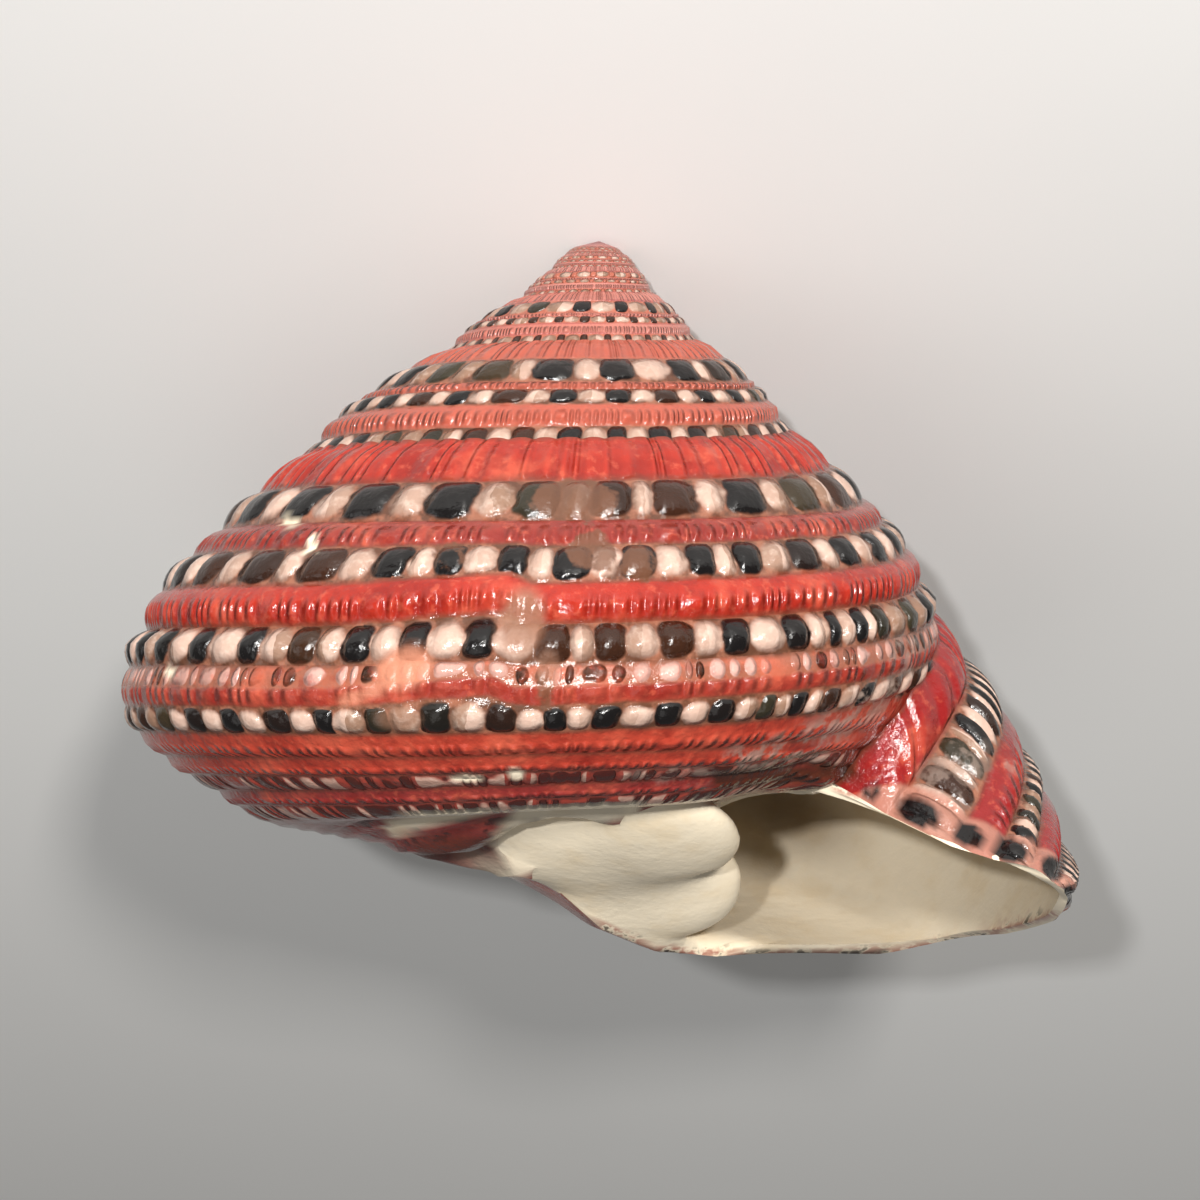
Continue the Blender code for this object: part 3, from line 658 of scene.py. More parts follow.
# %% Loft the hollow, close its ends and cut it out
def hollow_points(turn, place):
    """Points on the loft: turn along it, place round the loop."""
    count = loops.shape[1]
    fine_turns, which = np.unique(turn, return_inverse=True)
    by_turn = np.empty((len(fine_turns), count, 2))
    for p in range(count):
        for k in range(2):
            by_turn[:, p, k] = through(HOLLOW_TURNS, loops[:, p, k], fine_turns)
    low = np.floor(place + 1e-9).astype(int) % count
    part = (place - np.floor(place + 1e-9))[:, None]
    a, b, c, d = (by_turn[which, (low + k) % count] for k in (-1, 0, 1, 2))
    bent = b + 0.5 * part * (c - a + part * (2 * a - 5 * b + 4 * c - d + part * (3 * (b - c) + d - a)))
    return round_axis(bent, turn), turn, place


along = np.arange(0, len(HOLLOW_TURNS) - 1 + ALONG_HOLLOW / 2, ALONG_HOLLOW)
fine_turns = np.interp(along, np.arange(len(HOLLOW_TURNS)), HOLLOW_TURNS)
places = np.arange(loops.shape[1] * ROUND_HOLLOW + 1) / ROUND_HOLLOW
hollow_bm, _ = sheet(fine_turns, places, hollow_points, mark=HOLLOW_MARK)
bmesh.ops.remove_doubles(hollow_bm, verts=hollow_bm.verts, dist=WELD)
ends = bmesh.ops.holes_fill(hollow_bm, edges=[e for e in hollow_bm.edges if e.is_boundary], sides=0)
bmesh.ops.poke(hollow_bm, faces=ends["faces"])
bmesh.ops.recalc_face_normals(hollow_bm, faces=hollow_bm.faces)
layer = hollow_bm.loops.layers.uv[ROW_MAP]
for face in hollow_bm.faces:
    for corner in face.loops:
        if corner[layer].uv.y < HOLLOW_MARK - 1:
            corner[layer].uv = (HOLLOW_TURNS[0], HOLLOW_MARK)
hollow = new_object("hollow", hollow_bm)

# %% Tooth, pad and the slope beside them, melted into one lump
LUMPS = (
    ((2.2, -2.0, 12.2), (1.85, 2.1, 0.5), 33.0), ((0.75, -1.0, 12.80), (2.1, 2.1, 0.42), 33.0),
    ((2.3, 0.75, 13.50), (2.1, 2.2, 0.60), 46.0),
)
LUMP_GRAIN, LUMP_PASSES = 0.10, 90


def melted_lumps():
    """Flattened balls along the slope of the mouth, run together like wax."""
    balls = bmesh.new()
    for (across, back, depth), reach, tilt in LUMPS:
        place = Matrix.Translation(Vector((across, back, -depth)))
        place = place @ Matrix.Rotation(-math.radians(tilt), 4, "X")
        place = place @ Matrix.Diagonal(Vector(reach).to_4d())
        bmesh.ops.create_uvsphere(balls, u_segments=64, v_segments=32, radius=1.0, matrix=place)
    thing = new_object("lumps", balls)
    melt = thing.modifiers.new("melt", "REMESH")
    melt.mode = "VOXEL"
    melt.voxel_size = LUMP_GRAIN
    even = thing.modifiers.new("even", "SMOOTH")
    even.factor, even.iterations = 0.5, LUMP_PASSES
    thing.data = melted = with_modifiers(thing)
    marks = melted.uv_layers.new(name=ROW_MAP)
    marks.uv.foreach_set("vector", np.tile((0.0, PAD_MARK), len(melted.loops)).astype(np.float32))
    return thing


tools = ((hollow, "DIFFERENCE"), (melted_lumps(), "UNION"))
for tool, operation in tools:
    step = shell.modifiers.new(tool.name, "BOOLEAN")
    step.operation = operation
    step.solver = "MANIFOLD"
    step.object = tool
shell.data = with_modifiers(shell)
for tool, _ in tools:
    bpy.data.objects.remove(tool)
print("after cutting:", len(shell.data.vertices), "corners,", len(shell.data.polygons), "faces")

# %% Smooth the joints of the mouth
PAD_SPOT, PAD_REACH = Vector((0.3, -2.2, -13.4)), 3.1
TOOTH_SPOT, TOOTH_REACH = Vector((2.6, -2.2, -12.3)), 1.75
PAD_PASSES, EDGE_REACH, EDGE_PASSES = 160, 0.6, 24
PILLAR_EDGE = (Vector((2.9, -0.5, -12.6)), Vector((2.6, 0.1, -13.4)), Vector((2.05, 1.4, -14.7)))
PILLAR_REACHES, PILLAR_PASSES = (1.1, 0.9), 30
SLOPE_SPOT, SLOPE_SPREAD, SLOPE_PASSES = Vector((3.2, 1.3, -13.8)), 2.5, 70
bm = bmesh.new()
bm.from_mesh(shell.data)
layer = bm.loops.layers.uv[ROW_MAP]


def lining_corners(spot, reach):
    """Corners of the lining near a spot that touch nothing else."""
    near = [vert for vert in bm.verts if (vert.co - spot).length < reach]
    return [v for v in near if all(c[layer].uv.y > PEARL_FROM for c in v.link_loops)]


def smooth(verts, passes):
    """Evens out a group of corners."""
    for _ in range(passes):
        bmesh.ops.smooth_vert(bm, verts=verts, factor=0.5, use_axis_x=True, use_axis_y=True,
                              use_axis_z=True)


def off_the_tooth(corners):
    """Only those corners that lie away from the tooth."""
    return [vert for vert in corners if (vert.co - TOOTH_SPOT).length > TOOTH_REACH]


pad_corners = off_the_tooth(lining_corners(PAD_SPOT, PAD_REACH))
smooth(pad_corners, PAD_PASSES)
smooth(lining_corners(TOOTH_SPOT, TOOTH_REACH + EDGE_REACH), EDGE_PASSES)
for reach in PILLAR_REACHES:
    smooth(list({v for spot in PILLAR_EDGE for v in lining_corners(spot, reach)}), PILLAR_PASSES)
smooth(off_the_tooth(lining_corners(SLOPE_SPOT, SLOPE_SPREAD)), SLOPE_PASSES)
print("smoothed corners:", len(pad_corners))
bm.to_mesh(shell.data)
bm.free()

# %% Round the worn tip
TIP_WIDTH, TIP_REACH = 1.08, 0.7


def rounded_tip(points):
    """Points with the tip swollen into a blunt dome, except towards the floor."""
    depth = np.maximum(-points[:, 2], 0)
    radius = np.maximum(np.hypot(points[:, 0], points[:, 1]), 1e-6)
    wider = np.sqrt(radius ** 2 + TIP_WIDTH * depth * np.exp(-(depth / TIP_REACH) ** 2)) / radius
    front_only = np.where(points[:, 1] < 0, wider, 1.0)
    return points * np.stack((wider, front_only, np.ones_like(wider)), -1)


# %% [markdown]
# ## Lay it down
# The shell is turned onto its back and set on the floor. The few spots of the back that touch are
# rubbed flat, as on any shell that has rolled about on a beach: here the corners below the floor are
# simply lifted to it, which leaves the same small flats.

# %% Turn over, set down and keep inside the CAD box
LIE_TILT, LIE_TURN = 218.9, 180.0
SHARP_ANGLE = 50
SET_DOWN = Vector((0.76826, -6.78791, -0.02669)) * MM
lie = Matrix.Rotation(math.radians(LIE_TURN), 4, "Z") @ Matrix.Rotation(math.radians(LIE_TILT), 4, "X")
laid = Matrix.Translation(SET_DOWN) @ lie @ Matrix.Scale(MM, 4)
mesh = shell.data
points = np.empty(len(mesh.vertices) * 3, np.float32)
mesh.vertices.foreach_get("co", points)
drawn_points = rounded_tip(points.reshape(-1, 3).astype(float))
matrix = np.array(laid)
low, high = np.array(cad_low), np.array(cad_high)
placed = drawn_points @ matrix[:3, :3].T + matrix[:3, 3]
print("before the clip, mm:", (placed.min(0) / MM).round(3), (placed.max(0) / MM).round(3))
placed = np.clip(placed, low, high)
mesh.vertices.foreach_set("co", placed.astype(np.float32).ravel())
mesh.update()
mesh.polygons.foreach_set("use_smooth", np.ones(len(mesh.polygons), bool))
mesh.set_sharp_from_angle(angle=math.radians(SHARP_ANGLE))

# %% [markdown]
# ## Camera
# The photograph looks at the shell from the front with its tip up. Our shell lies on its back, so the
# same view looks down at it from about 36 degrees above the floor, with the camera turned over. The
# camera is described in the upright frame, where it was fitted, and laid down with the shell.

# %% Camera at the photograph's angle
TURN_LEFT, TURN_UP = math.radians(4.4968), math.radians(2.5043)
PIXEL = 0.021
FOCUS = 2709.37
HALF_IMAGE = 600
AIM = (0.86, -360.22)
sin_l, cos_l, sin_u, cos_u = (f(a) for a in (TURN_LEFT, TURN_UP) for f in (math.sin, math.cos))
right = Vector((cos_l, sin_u * sin_l, cos_u * sin_l))
up = Vector((-sin_l, sin_u * cos_l, cos_u * cos_l))
ahead = Vector((0, cos_u, -sin_u))
eye = (right * AIM[0] + up * AIM[1] - ahead * FOCUS) * PIXEL
facing = Matrix((right, up, -ahead)).transposed().to_4x4()
camera = placed_in_scene("camera", bpy.data.cameras.new("camera"))
camera.data.angle = 2 * math.atan(HALF_IMAGE / FOCUS)
camera.data.clip_start = MM
camera.matrix_world = Matrix.Translation(SET_DOWN) @ lie @ Matrix.Translation(eye * MM) @ facing
bpy.context.scene.camera = camera


def in_view(points):
    """Where points of the upright frame fall in the 1200 x 1200 picture."""
    away = points - np.array(eye)
    far = away @ np.array(ahead)
    across = HALF_IMAGE + FOCUS * (away @ np.array(right)) / far
    down = HALF_IMAGE - FOCUS * (away @ np.array(up)) / far
    return across, down


# %% [markdown]
# ## Marks on the surface
# The paint needs to know more than turn and row: where the lining shows, where the lip is pale, where
# the break healed. Each of these is a soft mark, stored at the corners of the faces. One-off marks are
# placed by where they are seen in the picture, each as an ellipse or a stroke on the part that carries it.

# %% Numbers at every face corner
FRONT_TURNS, BASE_SINCE = (-1.12, -0.52), 13.5
count = len(mesh.loops)
rows_map = np.empty(count * 2, np.float32)
mesh.uv_layers[ROW_MAP].uv.foreach_get("vector", rows_map)
corner_turn, corner_row = rows_map.reshape(-1, 2).astype(float).T
corner_vert = np.empty(count, int)
mesh.loops.foreach_get("vertex_index", corner_vert)
view_x, view_y = (v[corner_vert] for v in in_view(drawn_points))
starts = np.empty(len(mesh.polygons), int)
mesh.polygons.foreach_get("loop_start", starts)
sizes = np.diff(np.append(starts, count))
lining = corner_row > PEARL_FROM
pattern_row = corner_row + np.where(lining, 0, scar_shift(corner_turn, corner_row))
middle_row = np.repeat(np.add.reduceat(pattern_row, starts) / sizes, sizes)
band = BAND_OF_ROW[np.clip(middle_row, 0, AXIS_ROW).astype(int)]
bead_place = np.zeros(count)
for number in range(len(BANDS)):
    here = band == number
    bead_place[here] = bead_count(number, corner_turn[here])
front = (corner_turn > FRONT_TURNS[0]) & (corner_turn < FRONT_TURNS[1]) & ~lining
lip = (corner_turn > LIP_SINCE) & ~lining
base = (corner_row > BASE_SINCE) & ~lining
in_hollow = np.abs(corner_row - HOLLOW_MARK) < 1
print("corners:", count, "on the lining:", int(lining.sum()))


# %% Soft ellipses and strokes, placed in the picture
def ellipse(x, y, wide, tall, tilt=0.0, soft=0.35):
    """1 inside an ellipse, fading to 0 round its edge."""
    c, s = math.cos(math.radians(tilt)), math.sin(math.radians(tilt))
    along = (view_x - x) * c + (view_y - y) * s
    aside = (view_y - y) * c - (view_x - x) * s
    return 1 - ease(np.hypot(along / wide, aside / tall), 1 - soft, 1 + soft)


def stroke(points, wide, soft=0.5):
    """1 along a line through points, fading to 0 beside it."""
    least = np.full(count, 1e9)
    for (x0, y0), (x1, y1) in zip(points, points[1:]):
        run = (x1 - x0, y1 - y0)
        share = ((view_x - x0) * run[0] + (view_y - y0) * run[1]) / (run[0] ** 2 + run[1] ** 2)
        share = np.clip(share, 0, 1)
        least = np.minimum(least, np.hypot(view_x - x0 - share * run[0], view_y - y0 - share * run[1]))
    return 1 - ease(least / wide, 1 - soft, 1 + soft)


def marks(where, ellipses=(), strokes=()):
    """Strongest of several ellipses and strokes, kept to one part of the shell."""
    masks = [strength * ellipse(*form) for strength, *form in ellipses]
    masks += [strength * stroke(*form) for strength, *form in strokes]
    return np.max(masks, axis=0) * where


# %% The marks: strength, then an ellipse's middle, half sizes, tilt and softness, or a line and its width
FOLD_STROKES = (
    (1, ((395, 828), (440, 813), (480, 806), (505, 799)), 9),
    (1, ((486, 868), (513, 866), (540, 857), (572, 832), (600, 812)), 13),
    (1, ((508, 842), (528, 815), (545, 800)), 14), (1, ((540, 814), (600, 812), (628, 806)), 12),
)
GRAIN_SPOTS = ((1, 290, 521, 9, 5, 15), (1, 170, 672, 5, 6), (1, 466, 778, 15, 4), (1, 516, 774, 9, 4))
GRAIN_STROKES = ((1, ((306, 552), (314, 548), (316, 541), (310, 538)), 2.2),)
# Painted shade: these two ellipses darken the lining where the mouth lies deepest.
MOUTH_SHADE_SPOTS = ((0.85, 785, 806, 62, 36, 20, 0.9), (0.4, 760, 845, 22, 34, 0, 0.9))
RIM_SPOTS = ((0.9, 848, 787, 26, 9, 20),)
RIM_STROKES = ((1, ((600, 925), (653, 950), (760, 955), (884, 951), (980, 936), (1057, 913)), 4),)
BLOTCH_SPOTS = (
    (1, 873, 792, 9, 6, 0, 0.2), (1, 918, 812, 23, 14, 22, 0.15), (1, 968, 835, 16, 12, 20, 0.15),
    (1, 1010, 851, 18, 12, 10, 0.15), (1, 1052, 868, 13, 10, 60, 0.2), (1, 1068, 895, 9, 11, 0, 0.2),
    (1, 1040, 925, 11, 6, -30),
)
SCAR_SPOTS = (
    (0.9, 575, 500, 46, 22), (0.9, 592, 552, 26, 22), (0.7, 640, 562, 20, 20),
    (0.5, 448, 556, 20, 16), (0.5, 545, 690, 14, 22),
)
PATCH_SPOTS = ((1, 522, 622, 22, 34, 10), (0.7, 548, 668, 12, 18), (0.5, 398, 718, 22, 12))
CHIP_SPOTS, CHIP_STROKES = ((1, 404, 668, 28, 20, -20),), ((0.8, ((345, 701), (400, 680)), 7),)
FILM_SPOTS = (
    (0.5, 680, 775, 50, 9), (0.5, 905, 655, 16, 22), (0.45, 950, 780, 48, 30, -45),
    (0.5, 1010, 760, 20, 14),
)
FILM_STROKES = ((0.75, ((740, 762), (800, 748), (850, 718), (885, 692)), 16),)
# A near-black strip is painted between the lowest rows and the top edge of the mouth, up to the lip's
# corner.
DARK_STRIP_STROKES = ((1, ((722, 780), (780, 775), (850, 772)), 10), (0.6, ((846, 760), (872, 740)), 8))
GROOVE_STROKES = ((1, ((425, 850), (460, 847), (500, 852)), 13),)
MARGIN, MARGIN_ROWS, MARGIN_BELOW = (0.006, 0.016), (0.2, 0.6), (774, 796)
# Painted shade: over these turns the lining darkens further into the hollow.
MOUTH_SHADE_TURNS = (0.16, 0.45)

# %% Lining, painted shade deep in the mouth, pale margin, blotches, healed break, chip, film and a near-black strip above the mouth
row_ends = through(range(len(ROW_ENDS)), ROW_ENDS, np.clip(corner_row, 0, AXIS_ROW))
to_edge = (row_ends - corner_turn) * np.where(lip, 1, 1e3)
margin = (1 - ease(to_edge, *MARGIN)) * ease(corner_row, *MARGIN_ROWS) * ease(view_y, *MARGIN_BELOW)
folds = marks(base, strokes=FOLD_STROKES)
grains = marks(front, GRAIN_SPOTS, GRAIN_STROKES)
pearl = np.maximum.reduce([lining.astype(float), folds, grains])
# Painted shade deep in the mouth: the ellipses, and a darkening further into the hollow.
mouth_shade = np.maximum(marks(in_hollow, MOUTH_SHADE_SPOTS), in_hollow * ease(-corner_turn, *MOUTH_SHADE_TURNS))
rim = marks(lining, RIM_SPOTS, RIM_STROKES)
blotches = marks(lip, BLOTCH_SPOTS)
scar = marks(front, SCAR_SPOTS)
patch = marks(front, PATCH_SPOTS)
chip = marks(front, CHIP_SPOTS, CHIP_STROKES)
film = marks(front | lip, FILM_SPOTS, FILM_STROKES)
dark_strip = marks(front | lip, strokes=DARK_STRIP_STROKES)
hollow_dark = marks(base, strokes=GROOVE_STROKES)
print("corners on the healed break:", int((scar > 0.3).sum()), "film:", int((film > 0.3).sum()))


# %% Store the numbers on the mesh
def keep_colour(name, red, green, blue, alpha):
    """Four marks in one colour attribute."""
    layer = mesh.color_attributes.new(name, "FLOAT_COLOR", "CORNER")
    values = np.stack((red, green, blue, alpha), -1).astype(np.float32)
    layer.data.foreach_set("color", values.ravel())


AGE_SHIFT, AGE_SPAN = 7, 8
age = np.clip(corner_turn + AGE_SHIFT, 0, AGE_SPAN) / AGE_SPAN
# The second channel of the first attribute is painted shade deep in the mouth.
keep_colour("lip_marks", pearl, mouth_shade, margin, blotches)
keep_colour("wear_marks", scar, chip, film, dark_strip)
keep_colour("more_marks", patch, hollow_dark, age, rim)
beads_map = mesh.uv_layers.new(name="beads")
beads_map.uv.foreach_set("vector", np.stack((bead_place, pattern_row), -1).astype(np.float32).ravel())

# %% [markdown]
# ## Shader maths as plain expressions
# Node trees get long when each sum is a node made by hand. A small class stands for a socket, so that
# 1 - mask or beads * 0.5 writes the Math node by itself. Any other node comes from one method.


# %% A socket that can be added, multiplied and compared
def sum_of(operation, swapped=False):
    """An operator of the class below, which adds its Math node."""

    def operator(self, *others):
        values = (*others, self) if swapped else (self, *others)
        return node(self.tree, "ShaderNodeMath", {"operation": operation}, dict(enumerate(values)))

    return operator


class Wire:
    """A socket used in Python sums."""

    def __init__(self, tree, socket):
        self.tree, self.socket = tree, socket

    __add__ = __radd__ = sum_of("ADD")
    __mul__ = __rmul__ = sum_of("MULTIPLY")
    __sub__, __rsub__ = sum_of("SUBTRACT"), sum_of("SUBTRACT", swapped=True)
    __truediv__, __pow__ = sum_of("DIVIDE"), sum_of("POWER")
    __gt__, __lt__ = sum_of("GREATER_THAN"), sum_of("LESS_THAN")
    __abs__, whole = sum_of("ABSOLUTE"), sum_of("FLOOR")
    cosine, highest = sum_of("COSINE"), sum_of("MAXIMUM")

    def soft(self, start, end):
        """0 at start, 1 at end, a soft step between."""
        return node(self.tree, "ShaderNodeMapRange", {"interpolation_type": "SMOOTHSTEP"},
                    {"Value": self, "From Min": start, "From Max": end})


def node(tree, kind, settings, inputs, output=0):
    """Any node: settings first, then the values or wires of its sockets."""
    made = tree.nodes.new(kind)
    for name, value in settings.items():
        if name == "stops":
            ramp = made.color_ramp.elements
            while len(ramp) < len(value):
                ramp.new(1.0)
            for stop, (place, colour) in zip(ramp, value):
                stop.position = place
                stop.color = (*colour, 1.0)
        else:
            setattr(made, name, value)
    for name, value in inputs.items():
        if isinstance(value, Wire):
            tree.links.new(value.socket, made.inputs[name])
        else:
            made.inputs[name].default_value = value
    return Wire(tree, made.outputs[output])


def blend(share, one, other):
    """Colour between one and other."""
    one, other = (v if isinstance(v, Wire) else (*v, 1.0) for v in (one, other))
    return node(share.tree, "ShaderNodeMix", {"data_type": "RGBA"}, {0: share, 6: one, 7: other},
                output=2)


def layered(colour, *coats):
    """A colour with coats over it, each given as its cover and its colour."""
    for cover, coat in coats:
        colour = blend(cover, colour, coat)
    return colour


def split(colour):
    """Three channels of a colour or vector."""
    made = node(colour.tree, "ShaderNodeSeparateXYZ", {}, {0: colour})
    return [Wire(colour.tree, socket) for socket in made.socket.node.outputs]


def stored(tree, name):
    """A colour attribute of the mesh as four wires."""
    made = node(tree, "ShaderNodeAttribute", {"attribute_name": name}, {})
    outputs = made.socket.node.outputs
    return split(Wire(tree, outputs["Color"])) + [Wire(tree, outputs["Alpha"])]


def object_place(tree):
    """Place in the object's own coordinates."""
    return node(tree, "ShaderNodeTexCoord", {}, {}, output=3)


def noise(where, scale, detail=3.0, roughness=0.55):
    """Soft random value from 0 to 1."""
    return node(where.tree, "ShaderNodeTexNoise", {},
                {"Vector": where, "Scale": scale, "Detail": detail, "Roughness": roughness})


def chance(number):
    """One random value for each number."""
    return node(number.tree, "ShaderNodeTexWhiteNoise", {"noise_dimensions": "1D"}, {"W": number})


def new_material(name):
    """A node material, its tree and its main shader."""
    made = bpy.data.materials.new(name)
    made.use_nodes = True
    return made, made.node_tree, made.node_tree.nodes["Principled BSDF"]


# %% [markdown]
# ## The shell's colours
# On the real shell the pigment is laid down bead by bead: coral red cords, and between them rows where
# near-black and cream beads take turns. The beads' running number picks dark or pale, a random number
# for each bead makes some brown or greenish, and older whorls fade to salmon. Painting it by rule keeps
# the edges crisp at any distance, which a painted picture or coarse vertex colours would not. In the
# cells below, soft(a, b) says where a mask starts and where it is full, in rows, turns or noise.

# %% Colours, as linear values
CORAL, CORAL_DEEP, CORAL_LIGHT = (0.36, 0.024, 0.012), (0.17, 0.007, 0.005), (0.58, 0.115, 0.062)
SALMON, SALMON_OLD, SALMON_LINE = (0.45, 0.125, 0.080), (0.48, 0.185, 0.150), (0.28, 0.05, 0.055)
INK, UMBER, OLIVE = (0.006, 0.005, 0.005), (0.032, 0.011, 0.005), (0.045, 0.036, 0.018)
CREAM_BEAD, CREAM_BROWN, CREAM_LIGHT = (0.50, 0.34, 0.27), (0.20, 0.105, 0.062), (0.86, 0.72, 0.62)
CRIMSON, PEARLY_PINK = (0.24, 0.012, 0.013), (0.56, 0.33, 0.28)
LOW_PALE, LOW_DARK, LOW_GROOVE = (0.36, 0.20, 0.155), (0.075, 0.014, 0.011), (0.26, 0.035, 0.025)
TAN_GROOVE, BROWN_GROOVE = (0.27, 0.105, 0.062), (0.10, 0.040, 0.022)
BASE_RED, BASE_DARK, BASE_RING = (0.22, 0.028, 0.024), (0.060, 0.012, 0.012), (0.30, 0.05, 0.045)
NACRE, NACRE_WARM, NACRE_LIGHT = (0.86, 0.75, 0.57), (0.76, 0.60, 0.38), (0.82, 0.74, 0.60)
# The first colour on the next line is painted shade for the lining deep in the mouth.
NACRE_SHADE, LIP_PINK, PATCH_PINK = (0.10, 0.045, 0.010), (0.40, 0.18, 0.13), (0.25, 0.125, 0.080)
# The last colour on the next line is the near-black strip above the mouth.
CHIP_ORANGE, FILM_GREY, DARK_STRIP_COLOUR = (0.50, 0.20, 0.12), (0.30, 0.22, 0.18), (0.045, 0.014, 0.006)
SCAR_BROWN, NAVEL_DARK = (0.13, 0.055, 0.030), (0.10, 0.022, 0.012)
RED_ROWS = (
    (0.0, CORAL), (1.0, CORAL), (1.01, (0.25, 0.036, 0.026)), (3.0, (0.25, 0.034, 0.024)),
    (3.01, CORAL), (5.0, CORAL), (5.01, (0.27, 0.065, 0.042)), (7.5, (0.27, 0.055, 0.036)),
    (7.7, (0.31, 0.043, 0.027)), (9.0, (0.42, 0.050, 0.027)), (11.0, (0.40, 0.045, 0.026)),
    (12.0, (0.26, 0.030, 0.026)), (14.0, BASE_RED), (16.0, BASE_RED), (18.0, (0.30, 0.08, 0.06)),
)
BEAD_ROW_EDGES, EDGE_SOFTNESS = (1, 2, 3, 4, 5, 7, 8, 9, 11, 12, 13, 14), 0.0144
DARK_SHARES = ((0.0, 0.60), (2.5, 0.60), (2.6, 0.56), (4.5, 0.56), (4.6, 0.52), (7.5, 0.50), (18.0, 0.46))

# %% The shell's own material: which row, which bead
GRAIN_SCALE, MOTTLE_SCALE, SPECK_SCALE = 5200.0, 900.0, 2300.0
PLACE_WANDER, ROW_WANDER, FORM_WANDER = (1500.0, 0.26), (1900.0, 0.16), 0.9
DOUBLE_ROW, PEARLY_ROW = (5, 7), (7, 8)
SEEDS, SECOND_STEP = (37.0, 53.0), 1.7
paint, tree, gloss = new_material("shell_gloss")
here = object_place(tree)
true_place, true_row, _ = split(node(tree, "ShaderNodeUVMap", {"uv_map": "beads"}, {}))
pearl_w, mouth_shade_w, margin_w, blotch_w = stored(tree, "lip_marks")
scar_w, chip_w, film_w, dark_strip_w = stored(tree, "wear_marks")
patch_w, hollow_dark_w, age_w, rim_w = stored(tree, "more_marks")
turn = age_w * AGE_SPAN - AGE_SHIFT
grain = noise(here, GRAIN_SCALE, 4.0)
mottle = noise(here, MOTTLE_SCALE)
speck = noise(here, SPECK_SCALE, roughness=0.6)


def wandering(value, scale, reach):
    """A value that strays a little from place to place."""
    return value + (noise(here, scale, 2.0) - 0.5) * reach


def by_row(stops):
    """Colour that depends on the row."""
    stops = [(at / AXIS_ROW, colour) for at, colour in stops]
    return node(tree, "ShaderNodeValToRGB", {"stops": stops}, {0: row / AXIS_ROW})


place = wandering(true_place, *PLACE_WANDER)
row = wandering(true_row, *ROW_WANDER)
double = (row > DOUBLE_ROW[0]) * (row < DOUBLE_ROW[1])
band_floor = row.whole() * (1 - double) + double * DOUBLE_ROW[0]
part = (row - band_floor) / (1 + double)
nearest = (place + 0.5).whole()
offset = abs(place - nearest)
lot = chance(nearest + band_floor * SEEDS[0])
lot_again = chance(nearest * SECOND_STEP + band_floor * SEEDS[1])
print("nodes for rows and beads:", len(tree.nodes))

# %% Where a bead row is dark, pale or groove
edges = []
for k, edge in enumerate(BEAD_ROW_EDGES):
    inside = float(k % 2 == 0)
    edges += [(edge - EDGE_SOFTNESS, (1 - inside,) * 3), (edge + EDGE_SOFTNESS, (inside,) * 3)]
bead_row = split(by_row(edges))[0]
dark_share = split(by_row([(at, (share,) * 3) for at, share in DARK_SHARES]))[0]
dark_half = dark_share * (0.32 + 0.18 * turn.soft(-3.0, -2.0)) * (0.88 + 0.20 * lot)
height_in_row = abs(part - 0.5)
wobble = (speck - 0.5) * FORM_WANDER
dark_form = (offset / dark_half) ** 3 + (height_in_row / 0.46) ** 4 + wobble
dark = (1 - dark_form.soft(0.70, 1.25)) * turn.soft(-3.7, -2.9)
pale_form = ((0.5 - offset) / (0.5 - dark_half)) ** 2.5 + (height_in_row / 0.42) ** 2.5 + wobble
pale = 1 - pale_form.soft(0.45, 1.35)
pearly_row = (row > PEARLY_ROW[0]) * (row < PEARLY_ROW[1]) * (1 - part.soft(0.50, 0.62))
pearly_form = (offset / 0.36) ** 2 + (abs(part - 0.27) / 0.24) ** 2 + wobble
pearly = pearly_row * (1 - pearly_form.soft(0.7, 1.2))
print("nodes after the bead masks:", len(tree.nodes))

# %% Colour of the bead rows
low_rows = row.soft(10.8, 11.2)
ink = layered(
    INK, (lot.soft(0.62, 0.95), UMBER), (lot_again.soft(0.75, 0.95) * mottle, OLIVE),
    ((1 - turn.soft(-2.4, -2.0)) * row.soft(2.6, 3.0), UMBER), (low_rows * 0.8, LOW_DARK),
)
cream = layered(
    CREAM_BEAD, (lot_again.soft(0.30, 0.95) * 0.85, CREAM_BROWN), (low_rows * 0.8, LOW_PALE),
    (grain.soft(0.45, 0.75) * 0.25, CREAM_LIGHT),
)
groove = layered(
    TAN_GROOVE, (speck.soft(0.38, 0.60), BROWN_GROOVE), ((1 - turn.soft(-2.6, -2.0)) * 0.75, SALMON),
    (low_rows * 0.85, LOW_GROOVE),
)
pale = pale * (1 - low_rows * lot_again.soft(0.30, 0.45))
beaded = layered(groove, (pale, cream), (dark, ink))

